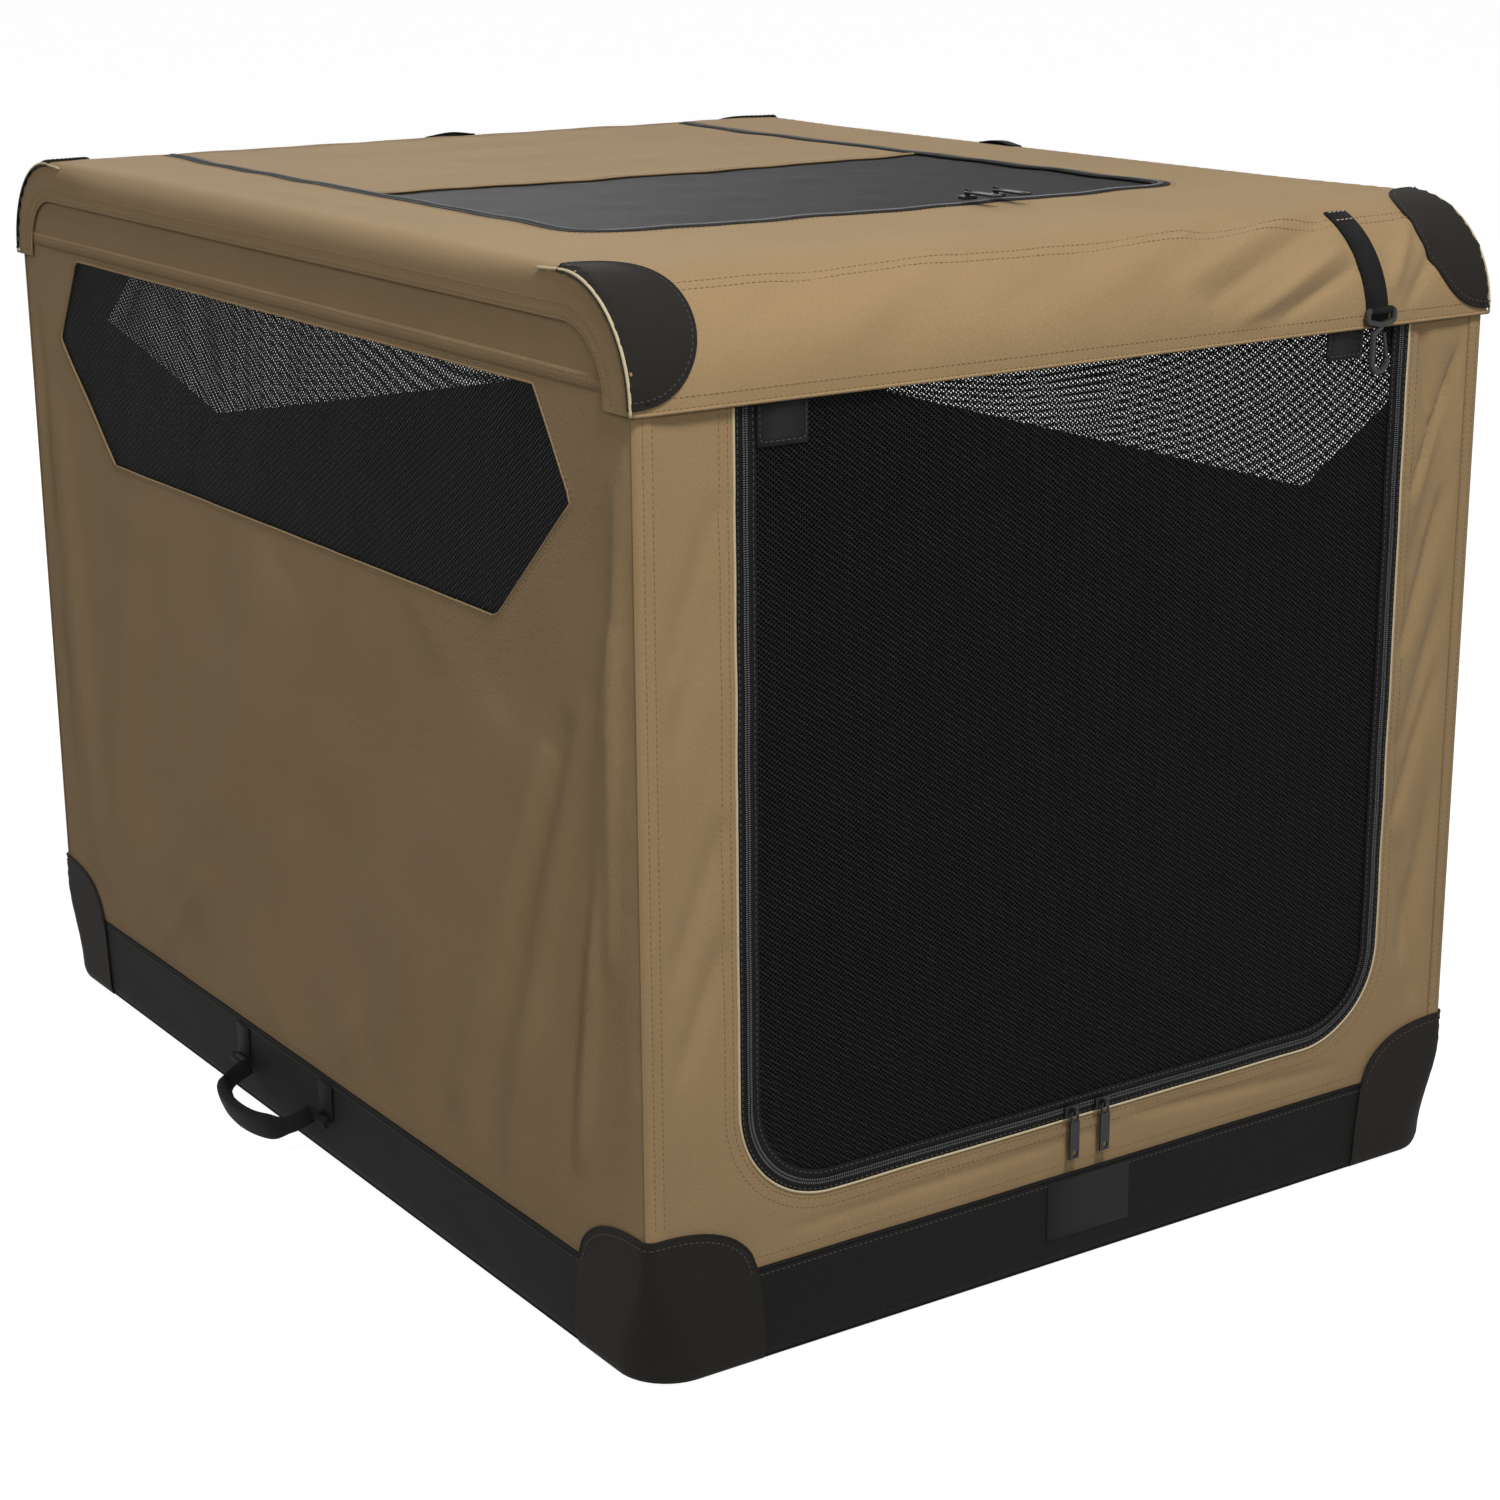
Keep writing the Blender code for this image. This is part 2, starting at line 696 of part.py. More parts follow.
def corner_wall(name, end, opening):
    """A front or rear wall that turns the corners a little way, behind the patches and the shell."""
    x = HALF_W - WALL_OUT
    y = end * (HALF_L - WALL_OUT)
    turned = y - end * RETURN
    low = BAND_HEIGHT + GAP
    path = [(-x, turned, low), (-x, y, low), (x, y, low), (x, turned, low)]
    wall = swept_sheet(name, path, (0, 0, PANEL_TOP_Z - low), CLOTH, end, "tan_cloth")
    outside = end * (HALF_L + OVERRUN)
    inside = turned - end * OVERRUN
    for side in (-1, 1):
        label = f"{name}_{'lr'[side > 0]}"
        notch = box(
            label + "_notch",
            (side * (HALF_W - NOTCH), inside, low - OVERRUN),
            (side * (HALF_W + OVERRUN), outside, PATCH_HEIGHT + GAP),
        )
        above = box(
            label + "_top",
            (side * (HALF_W - WALL_IN - OVERRUN), inside, BEND_Z),
            (side * (HALF_W + OVERRUN), end * (HALF_L - WALL_IN - GAP), PANEL_TOP_Z + OVERRUN),
        )
        boolean(wall, notch, "DIFFERENCE")
        boolean(wall, above, "DIFFERENCE")
    outline = [(x, outside, z) for x, z in opening]
    boolean(wall, prism(name + "_opening", outline, (0, -2 * end * (OVERRUN + WALL_IN), 0)), "DIFFERENCE")
    return wall


def front_panel():
    return corner_wall("front_panel", -1, door_outline(0, DOOR_HINGE_Z + GAP))


def front_zip_tape():
    outer = door_outline(GAP, DOOR_HINGE_Z)
    inner = door_outline(GAP + ZIP_TAPE, DOOR_HINGE_Z)
    return front_plate("front_zip_tape", [outer + inner[::-1]], CLOTH, "black_webbing")


def front_door_border():
    start = ZIP_TAPE + 2 * GAP
    outer = door_outline(start, DOOR_HINGE_Z)
    inner = door_outline(start + DOOR_BORDER, DOOR_HINGE_Z - DOOR_BORDER)
    return front_plate("front_door_border", [outer, inner], CLOTH, "black_webbing")


def front_door_mesh():
    inset = ZIP_TAPE + DOOR_BORDER + 3 * GAP
    outline = door_outline(inset, DOOR_HINGE_Z - DOOR_BORDER - GAP)
    depth = WALL_OUT + (CLOTH - MESH) / 2
    return front_plate("front_door_mesh", [outline], MESH, "black_mesh", depth)


def rear_panel():
    return corner_wall("rear_panel", 1, hexagon(*REAR_WINDOW))


def rear_window():
    hole = hexagon(*REAR_WINDOW)
    middle = (0, HALF_L - WALL_OUT - CLOTH / 2, 0)
    return plate("rear_window", [grown(hole, -GAP)], FRONT_PLANE, middle, MESH, "black_mesh")


# Top shell, its sewn corner caps and the top door


def shell_profile():
    """Half of the wrap's outer line, from the front hem to the middle of the top."""
    points = [(-HALF_L, HEM_Z)]
    steps = 2 * ARC_STEPS
    flange = math.asin((FLANGE_Z - BEND_Z) / TOP_BEND_R)
    angles = [math.pi / 2 * step / steps for step in range(steps + 1)]
    angles.append(flange)
    for angle in sorted(angles):
        y = -BEND_Y - TOP_BEND_R * math.cos(angle)
        points.append((y, BEND_Z + TOP_BEND_R * math.sin(angle)))
    return points


def shell_blank(name, material):
    """The whole wrap with its side flanges, as one thickened sheet."""
    half = shell_profile()
    profile = half + mirrored(half)[::-1]
    bm = bmesh.new()
    rows = {}
    for side in (-1, 1):
        rows[side] = [bm.verts.new((side * HALF_W, y, z)) for y, z in profile]
    for index in range(len(profile) - 1):
        left = rows[-1][index : index + 2]
        right = rows[1][index : index + 2]
        bm.faces.new((left[0], right[0], right[1], left[1]))
    for side in (-1, 1):
        row = [vert for vert in rows[side] if vert.co.z > FLANGE_Z - GAP / 2]
        bm.faces.new(row[::-1] if side > 0 else row)
    return solidify(open_sheet(name, bm, material), CLOTH, -1)


def cap_core(name, side, end, extra):
    """An oval bar square to the bend, which marks a corner cap's outline."""
    middle = Vector((side * HALF_W, end * BEND_Y, BEND_Z))
    bar = cylinder(name, (0, 0, 0), (0, 0, 1), 1, TOP_BEND_R)
    outward = Vector((0, end, 1)).normalized()
    stretch = Matrix.Diagonal((CAP_WIDTH + extra, CAP_REACH + extra, 1, 1))
    turn = Matrix.Rotation(-end * math.pi / 4, 4, "X")
    place = Matrix.Translation(middle + outward * TOP_BEND_R)
    bar.data.transform(place @ turn @ stretch)
    return bar


def top_shell_and_caps():
    shell = shell_blank("top_shell", "tan_cloth")
    opening = rounded(
        [
            (-TOP_DOOR_HALF, TOP_DOOR_REAR_Y),
            (-TOP_DOOR_HALF, TOP_DOOR_FRONT_Y),
            (TOP_DOOR_HALF, TOP_DOOR_FRONT_Y),
            (TOP_DOOR_HALF, TOP_DOOR_REAR_Y),
        ],
        [0, TOP_DOOR_CORNER_R, TOP_DOOR_CORNER_R, 0],
        True,
    )
    outline = [(x, y, HEIGHT - OVERRUN) for x, y in opening]
    boolean(shell, prism("top_door_cutter", outline, (0, 0, 2 * OVERRUN)), "DIFFERENCE")
    for side in (-1, 1):
        for end in (-1, 1):
            place = f"{('rear', 'front')[end < 0]}_{('left', 'right')[side > 0]}"
            cap = shell_blank("top_cap_" + place, "black_cloth")
            boolean(cap, cap_core("cap_core_" + place, side, end, 0), "INTERSECT")
            boolean(shell, cap_core("cap_recess_" + place, side, end, GAP), "DIFFERENCE")
    return shell


def top_door_path(inset, front_only=False):
    rear = TOP_DOOR_SPLIT_Y - GAP if front_only else TOP_DOOR_REAR_Y - GAP
    half = TOP_DOOR_HALF - inset
    front = TOP_DOOR_FRONT_Y + inset
    radius = TOP_DOOR_CORNER_R - inset
    points = [(-half, rear), (-half, front), (half, front), (half, rear)]
    return rounded(points, [0, radius, radius, 0], False)


def top_plate(name, outline, thickness, material):
    middle = (0, 0, HEIGHT - thickness / 2)
    return plate(name, [outline], TOP_PLANE, middle, thickness, material)


def top_door():
    outer = top_door_path(GAP)
    inner = top_door_path(GAP + ZIP_TAPE)
    top_plate("top_zip_tape", outer + inner[::-1], CLOTH, "black_webbing")
    inset = ZIP_TAPE + 2 * GAP
    half = TOP_DOOR_HALF - inset
    rear = TOP_DOOR_REAR_Y - GAP
    cloth = [
        (-half, TOP_DOOR_SPLIT_Y),
        (half, TOP_DOOR_SPLIT_Y),
        (half, rear),
        (-half, rear),
    ]
    top_plate("top_door_cloth", cloth, CLOTH, "tan_cloth")
    top_plate("top_door_mesh", top_door_path(inset, True), MESH, "black_mesh")


# Zips: each slider runs on its tape and carries a pull on a wire loop


def slider_with_pull(name, to_world):
    """Built flat with the run along X, the outside up and the pull towards -Y."""
    body = box(
        name,
        (-SLIDER_LENGTH / 2, -SLIDER_WIDTH / 2, GAP),
        (SLIDER_LENGTH / 2, SLIDER_WIDTH / 2, SLIDER_HEIGHT),
        "zip_metal",
    )
    bevel = body.modifiers.new("round", "BEVEL")
    bevel.width = SLIDER_ROUND
    bevel.segments = 2
    eye = (0, 0, SLIDER_HEIGHT + LUG_R - GAP)
    lug = cylinder(name + "_lug", eye, (1, 0, 0), LUG_R, LUG_LENGTH / 2, sides=SMALL_SIDES)
    hole = cylinder(name + "_eye", eye, (1, 0, 0), LUG_BORE_R, LUG_LENGTH, sides=SMALL_SIDES)
    boolean(body, lug, "UNION")
    boolean(body, hole, "DIFFERENCE")
    side = LUG_LENGTH / 2 + GAP + PULL_WIRE_R
    low = -PULL_LOOP_LENGTH
    loop = rounded(
        [(-side, 0), (side, 0), (side, low), (-side, low)],
        [PULL_WIRE_R] * 4,
        True,
        SMALL_ARC_STEPS,
    )
    pull = tube_mesh(
        name.replace("slider", "pull"),
        [(x, y, eye[2]) for x, y in loop],
        PULL_WIRE_R,
        "zip_metal",
        cyclic=True,
        resolution=WIRE_RESOLUTION,
    )
    tab = box(
        pull.name + "_tab",
        (-PULL_WIDTH / 2, low - PULL_LENGTH, eye[2] - PULL_THICKNESS / 2),
        (PULL_WIDTH / 2, low + PULL_WIRE_R / 2, eye[2] + PULL_THICKNESS / 2),
    )
    grip_hole = cylinder(
        pull.name + "_hole",
        (0, low - PULL_LENGTH + PULL_WIDTH / 2, eye[2]),
        (0, 0, 1),
        PULL_HOLE_R,
        PULL_THICKNESS,
        sides=SMALL_SIDES,
    )
    boolean(pull, tab, "UNION")
    boolean(pull, grip_hole, "DIFFERENCE")
    for obj in (body, pull, lug, hole, tab, grip_hole):
        obj.matrix_world = to_world @ obj.matrix_world
    return body, pull


def zip_sliders():
    z = DOOR_LOW_Z + GAP + ZIP_TAPE
    for place, x in (("left", FRONT_LEFT_SLIDER_X), ("right", FRONT_RIGHT_SLIDER_X)):
        at = Matrix.Translation((x, -HALF_L + WALL_OUT, z)) @ FRONT_PLANE
        slider_with_pull("front_slider_" + place, at)
    y = TOP_DOOR_FRONT_Y + GAP + ZIP_TAPE
    for place, x in (("left", TOP_LEFT_SLIDER_X), ("right", TOP_RIGHT_SLIDER_X)):
        at = Matrix.Translation((x, y, HEIGHT))
        slider_with_pull("top_slider_" + place, at)


# Strap and snap hook


def door_strap():
    """Webbing over the front bend of the shell, folded round the hook's eye."""
    radius = TOP_BEND_R + GAP
    start = math.radians(STRAP_START_DEG)
    path = []
    for step in range(ARC_STEPS + 1):
        angle = start * (1 - step / ARC_STEPS)
        y = -BEND_Y - radius * math.cos(angle)
        path.append((STRAP_X - STRAP_WIDTH / 2, y, BEND_Z + radius * math.sin(angle)))
    eye = strap_eye()
    turn_r = HOOK_WIRE_R + GAP + WEBBING
    for step in range(ARC_STEPS + 1):
        angle = math.radians(STRAP_WRAP_DEG) * step / ARC_STEPS
        y = eye.y + turn_r * math.cos(angle)
        path.append((STRAP_X - STRAP_WIDTH / 2, y, eye.z - turn_r * math.sin(angle)))
    return swept_sheet("door_strap", path, (STRAP_WIDTH, 0, 0), WEBBING, 1, "black_webbing")


def strap_eye():
    y = -HALF_L - GAP - WEBBING - GAP - HOOK_WIRE_R
    return Vector((STRAP_X, y, STRAP_LOW_Z))


def snap_hook():
    """A plastic hook: a straight bar in the webbing, a shank and an open mouth."""
    eye = strap_eye()
    half = STRAP_WIDTH / 2 + GAP + HOOK_WIRE_R
    ring = rounded(
        [
            (-half, 0),
            (half, 0),
            (half, -HOOK_EYE_R),
            (HOOK_WIRE_R, -HOOK_TOP),
            (-HOOK_WIRE_R, -HOOK_TOP),
            (-half, -HOOK_EYE_R),
        ],
        [HOOK_WIRE_R, HOOK_WIRE_R, HOOK_WIRE_R, 0, 0, HOOK_WIRE_R],
        True,
        SMALL_ARC_STEPS,
    )
    frame = tube_mesh(
        "snap_hook",
        [(eye.x + x, eye.y, eye.z + z) for x, z in ring],
        HOOK_WIRE_R,
        "black_plastic",
        cyclic=True,
        resolution=WIRE_RESOLUTION,
    )
    top = -HOOK_TOP
    shoulder = top - HOOK_SHOULDER
    low = top - HOOK_LENGTH + HOOK_MOUTH_R
    points = [(0, top), (0, top - HOOK_WIRE_R), (-HOOK_MOUTH_R, shoulder)]
    for step in range(2 * ARC_STEPS + 1):
        angle = math.pi + math.pi * step / (2 * ARC_STEPS)
        points.append((HOOK_MOUTH_R * math.cos(angle), low + HOOK_MOUTH_R * math.sin(angle)))
    points.append((HOOK_MOUTH_R, low + HOOK_WIRE_R))
    shank = tube_mesh(
        "snap_hook_shank",
        [(eye.x + x, eye.y, eye.z + z) for x, z in points],
        HOOK_WIRE_R,
        "black_plastic",
        resolution=WIRE_RESOLUTION,
    )
    boolean(frame, shank, "UNION")
    gate_low = eye.z + low + HOOK_WIRE_R
    gate_high = eye.z + shoulder - GAP
    tube(
        "hook_gate",
        [
            (eye.x + HOOK_MOUTH_R, eye.y, gate_low + GAP),
            (eye.x + HOOK_WIRE_R + GATE_R, eye.y, gate_high + HOOK_WIRE_R / 2),
        ],
        GATE_R,
        "black_plastic",
        resolution=WIRE_RESOLUTION,
    )
    return frame


# Carry handle and webbing loops


def handle_anchor(name, along):
    """A webbing tab on the band, with the eye that the handle's rod turns in."""
    middle = (HANDLE_X, along, HANDLE_Z)
    low = HANDLE_Z - ANCHOR_EYE_R
    tab = box(
        name,
        (-ANCHOR_FACE - WEBBING, along - ANCHOR_WIDTH / 2, low),
        (-ANCHOR_FACE, along + ANCHOR_WIDTH / 2, low + ANCHOR_HEIGHT),
        "black_webbing",
    )
    eye = cylinder(name + "_eye", middle, (0, 1, 0), ANCHOR_EYE_R, ANCHOR_WIDTH / 2)
    bore = cylinder(name + "_bore", middle, (0, 1, 0), ANCHOR_BORE_R, ANCHOR_WIDTH)
    boolean(tab, eye, "UNION")
    boolean(tab, bore, "DIFFERENCE")
    return tab


def carry_handle():
    """A padded grip that swings on the two anchors, fat in its middle."""
    steps = 3 * ARC_STEPS
    half = HANDLE_HALF - ANCHOR_WIDTH / 2 - ROD_CLEAR
    path = []
    sizes = []
    rod = HANDLE_ROD_R / GRIP_R
    for step in range(steps + 1):
        share = step / steps
        along = half * math.cos(math.pi * share)
        out = math.sin(math.pi * share) ** BOW_POWER if 0 < step < steps else 0.0
        path.append((HANDLE_X - HANDLE_OUT * out, HANDLE_Y + along, HANDLE_Z - HANDLE_DROP * out))
        pad = max(0.0, math.sin(math.pi * share)) ** GRIP_POWER
        sizes.append(rod + (1 - rod) * pad)
    first = (HANDLE_X, HANDLE_Y + HANDLE_HALF + ANCHOR_WIDTH / 2, HANDLE_Z)
    last = (HANDLE_X, HANDLE_Y - HANDLE_HALF - ANCHOR_WIDTH / 2, HANDLE_Z)
    return tube(
        "handle_grip",
        [first, *path, last],
        GRIP_R,
        "black_webbing",
        sizes=[rod, *sizes, rod],
    )


def webbing_loop(name, middle, along, up):
    """A low arch of webbing sewn down at both ends."""
    half = LOOP_LENGTH / 2
    path = []
    for step in range(2 * ARC_STEPS + 1):
        share = step / ARC_STEPS - 1
        rise = LOOP_RISE * ((1 + math.cos(math.pi * share)) / 2) ** LOOP_POWER
        path.append(Vector(middle) + Vector(along) * (half * share) + Vector(up) * rise)
    across = Vector(up).cross(Vector(along)).normalized() * LOOP_WIDTH
    path = [point - across / 2 for point in path]
    return swept_sheet(name, path, across, WEBBING, 1, "black_webbing")


def edge_loops():
    angle = math.radians(REAR_LOOP_DEG)
    up = (0, math.cos(angle), math.sin(angle))
    radius = TOP_BEND_R + GAP
    middle = (REAR_LOOP_X, BEND_Y + radius * up[1], BEND_Z + radius * up[2])
    webbing_loop("rear_loop", middle, (1, 0, 0), up)
    middle = (HALF_W - LOOP_WIDTH / 2, RIGHT_LOOP_Y, HEIGHT + GAP)
    webbing_loop("right_loop", middle, (0, 1, 0), (0, 0, 1))


# Joints: an empty on each axis carries the pieces that turn or slide there


def hang(piece, empty):
    """Parents a piece and its cutters to the empty, without moving them."""
    helpers = [modifier.object for modifier in piece.modifiers if modifier.type == "BOOLEAN"]
    for obj in [piece, *helpers]:
        obj.parent = empty
        obj.matrix_parent_inverse = empty.matrix_world.inverted()


def joint(body, place, pieces, parent=None):
    empty = bpy.data.objects.new(body + "_axis", None)
    empty.location = place
    CRATE.objects.link(empty)
    bpy.context.view_layer.update()
    if parent:
        hang(empty, parent)
    for name in pieces:
        hang(bpy.data.objects[name], empty)
    return empty


def side_joints(side, hand):
    """The lower hoop turns on the base's ears and the upper hoop at the knees."""
    lower = [f"lower_hoop_{hand}", f"lower_skin_{hand}"]
    upper = [f"upper_hoop_{hand}", f"upper_skin_{hand}", f"side_window_{hand}"]
    for place in ("front", "rear"):
        lower.append(f"knee_clevis_{place}_{hand}")
        upper.append(f"knee_tongue_{place}_{hand}")
    low = joint(f"lower_{hand}", (side * RAIL_X, 0, LOW_RAIL_Z), lower)
    return joint(f"upper_{hand}", (side * KNEE_X, 0, KNEE_Z), upper, low)


def slider_joints(row, hand, x, y, z, outward, parent=None):
    """The slider runs from here, and the pull turns in the lug's eye."""
    slider = f"{row}_slider_{hand}"
    pull = f"{row}_pull_{hand}"
    run = joint(slider, (x, y, z), [slider], parent)
    eye = Vector((x, y, z)) + Vector(outward) * (SLIDER_HEIGHT + LUG_R - GAP)
    joint(pull, eye, [pull], run)


def add_joints():
    upper = side_joints(-1, "left")
    side_joints(1, "right")
    over = ["top_shell", "top_bar_front", "top_bar_rear", "top_zip_tape", "rear_loop"]
    over += ["right_loop"]
    over += [f"top_cap_{end}_{hand}" for end in ("front", "rear") for hand in ("left", "right")]
    top = joint("top", (-RAIL_X, 0, HIGH_RAIL_Z), over, upper)
    hinge = (0, TOP_DOOR_REAR_Y - GAP, HEIGHT)
    joint("top_door", hinge, ["top_door_cloth", "top_door_mesh"], top)
    hinge = (0, -HALF_L + WALL_OUT, DOOR_HINGE_Z)
    joint("front_door", hinge, ["front_door_border", "front_door_mesh"])
    y = -HALF_L + WALL_OUT
    z = DOOR_LOW_Z + GAP + ZIP_TAPE
    slider_joints("front", "left", FRONT_LEFT_SLIDER_X, y, z, (0, -1, 0))
    slider_joints("front", "right", FRONT_RIGHT_SLIDER_X, y, z, (0, -1, 0))
    y = TOP_DOOR_FRONT_Y + GAP + ZIP_TAPE
    slider_joints("top", "left", TOP_LEFT_SLIDER_X, y, HEIGHT, (0, 0, 1), top)
    slider_joints("top", "right", TOP_RIGHT_SLIDER_X, y, HEIGHT, (0, 0, 1), top)
    angle = math.radians(STRAP_START_DEG)
    y = -BEND_Y - STRAP_PIVOT_R * math.cos(angle)
    z = BEND_Z + STRAP_PIVOT_R * math.sin(angle)
    strap = joint("strap", (STRAP_X, y, z), ["door_strap", "snap_hook"], top)
    eye = strap_eye()
    gate_x = eye.x + HOOK_WIRE_R + GATE_R
    gate_z = eye.z - HOOK_TOP - HOOK_SHOULDER + HOOK_WIRE_R / 2
    joint("hook_gate", (gate_x, eye.y, gate_z), ["hook_gate"], strap)
    joint("handle", (HANDLE_X, HANDLE_Y, HANDLE_Z), ["handle_grip"])


def build():
    base_tray()
    base_frame()
    front_panel()
    front_zip_tape()
    front_door_border()
    front_door_mesh()
    rear_panel()
    rear_window()
    top_shell_and_caps()
    top_door()
    zip_sliders()
    door_strap()
    snap_hook()
    carry_handle()
    handle_anchor("handle_anchor_front", HANDLE_Y - HANDLE_HALF)
    handle_anchor("handle_anchor_rear", HANDLE_Y + HANDLE_HALF)
    edge_loops()
    top_bar("top_bar_front", -1)
    top_bar("top_bar_rear", 1)
    for side, hand in ((-1, "left"), (1, "right")):
        lower_hoop("lower_hoop_" + hand, side)
        upper_hoop("upper_hoop_" + hand, side)
        lower_skin("lower_skin_" + hand, side)
        crease_strip("crease_" + hand, side)
        upper_skin("upper_skin_" + hand, side)
        side_window("side_window_" + hand, side)
        for end, place in ((-1, "front"), (1, "rear")):
            corner_patch(f"base_patch_{place}_{hand}", side, end)
            knee_half(f"knee_clevis_{place}_{hand}", side, end, -1)
            knee_half(f"knee_tongue_{place}_{hand}", side, end, 1)
    add_joints()


build()
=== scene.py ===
"""The looks of the soft folding dog crate: cloth, nets, zips, webbing, light and camera.

Metres, +Z up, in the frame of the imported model. The front door faces -Y.
"""

import json
import math

import bpy
import numpy as np
from mathutils import Matrix, Vector
from mathutils.geometry import delaunay_2d_cdt


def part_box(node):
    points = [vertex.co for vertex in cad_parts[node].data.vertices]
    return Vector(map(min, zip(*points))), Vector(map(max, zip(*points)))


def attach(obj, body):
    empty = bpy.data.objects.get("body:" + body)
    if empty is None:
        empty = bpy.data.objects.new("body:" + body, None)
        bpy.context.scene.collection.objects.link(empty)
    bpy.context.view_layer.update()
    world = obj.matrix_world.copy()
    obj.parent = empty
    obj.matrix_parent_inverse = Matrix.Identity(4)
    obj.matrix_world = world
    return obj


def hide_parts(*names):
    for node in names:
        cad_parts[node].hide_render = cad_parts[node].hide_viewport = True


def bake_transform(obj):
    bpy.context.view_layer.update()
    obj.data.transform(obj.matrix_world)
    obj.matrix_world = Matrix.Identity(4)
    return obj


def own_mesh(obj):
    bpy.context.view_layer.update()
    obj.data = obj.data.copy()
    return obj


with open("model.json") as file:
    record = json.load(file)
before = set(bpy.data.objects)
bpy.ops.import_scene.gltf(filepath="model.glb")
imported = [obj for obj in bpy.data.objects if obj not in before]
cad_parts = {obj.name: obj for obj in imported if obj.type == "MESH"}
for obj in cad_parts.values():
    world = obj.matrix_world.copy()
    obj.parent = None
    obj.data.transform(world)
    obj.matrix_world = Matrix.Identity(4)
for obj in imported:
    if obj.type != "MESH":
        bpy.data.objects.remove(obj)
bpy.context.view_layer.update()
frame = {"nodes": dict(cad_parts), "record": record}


def middle(node, axis):
    low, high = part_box(node)
    return (low[axis] + high[axis]) / 2


# Places read from the frame
SHELL_LOW, SHELL_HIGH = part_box("top_shell")
HALF_W, HALF_L, HEIGHT = SHELL_HIGH
HEM_Z = SHELL_LOW[2]
WALL_X, WALL_Y, BAND_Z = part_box("base_tray")[1]
KNEE_Z = middle("crease_left", 2)
KNEE_PIN = 0.0085
KNEE_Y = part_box("knee_clevis_rear_left")[0][1] + KNEE_PIN
DOOR_LOW, DOOR_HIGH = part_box("front_zip_tape")
TOP_DOOR_LOW, TOP_DOOR_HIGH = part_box("top_zip_tape")
SPLIT_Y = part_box("top_door_cloth")[0][1]

# Cloth: thickness, the net's holes, mesh spacing, where walls stand, and their edges
CLOTH = 0.0010
NET = 0.0006
NET_HOLE = (0.0042, 0.0036)
SPACING = 0.011
FRONT_Y = WALL_Y - 0.0026
REAR_Y = WALL_Y - 0.0012
FOLD_TOP_Z = 0.115
EDGE_R = 0.006
CORNER_STRIP = 0.0095
WALL_START = 0.066
STRIP_START = WALL_Y - EDGE_R + EDGE_R * math.pi / 8
STRIP_END = WALL_Y - EDGE_R + EDGE_R * math.pi / 2 + CORNER_STRIP
STRIP_FOOT_Z = 0.108
STRIP_SEAM = (0.125, 0.700)
FOOT_SEAM_Z = BAND_Z + 0.009
END_SEAM = 0.30
SIDE_SEAM = 0.44
TOP_SEAM = 0.520

# Top shell
BEND_R = 0.085
BEND_Y = HALF_L - BEND_R
BEND_Z = HEIGHT - BEND_R
FLANGE = 0.035
ROLL_R = 0.016
ROLL_R_END = 0.003
ROLL_START = 0.16
BEND_ARC = BEND_R * math.pi / 2
TOP_START = BEND_Z - HEM_Z + BEND_ARC
WRAP_LENGTH = 2 * TOP_START + 2 * BEND_Y
MARGIN = 0.05
SHELL_SEAMS = [(0.385, [0.0022, 0.0095]), (0.340, [0.0855, 0.0930])]
CAP_WIDTH = 0.062
CAP_REACH = 0.069

# Windows, as pairs along and up from the middle
WINDOW_TOP_Z = 0.703
WINDOW_MID_Z = 0.630
WINDOW_LOW_Z = 0.530
SIDE_WINDOW = [(0.342, WINDOW_LOW_Z), (0.449, WINDOW_MID_Z), (0.402, WINDOW_TOP_Z)]
REAR_WINDOW = [(0.206, WINDOW_LOW_Z), (0.312, WINDOW_MID_Z), (0.268, WINDOW_TOP_Z)]
WINDOW_LAP = 0.008

# Front door and top door
DOOR_HALF = DOOR_HIGH[0]
DOOR_Z = DOOR_LOW[2]
DOOR_TOP_Z = HEM_Z + 0.002
DOOR_CORNER_R = 0.078
TAPE = 0.008
BORDER = 0.009
TOP_CORNER_R = 0.030
DOOR_TABS = [(-0.293, -0.252, 0.668, 0.698), (0.225, 0.262, 0.676, 0.699)]
COIL_PITCH = 0.0016
COIL_LENGTH = 0.0022
COIL_R = 0.0005
COIL_GAP = 0.0012

# Strap, and the eye of its hook
STRAP_START = 66.0
EYE_PROUD = 0.0047
EYE_Z = 0.712
EYE_R = 0.0031

# Webbing loops
LOOP_ANGLE = 14.0
LOOP_INSET = 0.011
LOOP_WIDTH = 0.019
LOOP_RISE = 0.0026

# Carry handle
HANDLE_PIN = 0.0055
GRIP_ACROSS = (-0.35, 0.0, 0.94)
GRIP_HALF = 0.009
GRIP_SPAN = 0.78
GRIP_SAG = 0.014
GRIP_WEB = (0.0085, 0.0016)
GRIP_PAD = 0.0040
TAB_FOOT_Z = 0.068
TAB_R = 0.0042

# Base
BASE_CORNER_R = 0.042
PATCH_TOP_R = 0.0075
PATCH_TOP = 0.118
PATCH_ARM = 0.090
PATCH_PROUD = 0.0012
DOME_POWER = 2.6
FOOT_TURN_Z = 0.100
FOOT_ROUND = 0.012
BAND_HALF = 0.037
BAND_MIDDLE_Z = 0.0372
LABEL_X = (-0.031, 0.050)
LABEL_Z = (0.022, 0.070)

# Thread
STITCH_PITCH = 0.0046
STITCH = 0.0031
THREAD_R = 0.00048

HANDS = {-1: "left", 1: "right"}
CORNERS = [(side, end) for side in (-1, 1) for end in (-1, 1)]


def corner_name(side, end):
    return f"{'front' if end < 0 else 'rear'}_{HANDS[side]}"


# Numbers along lines


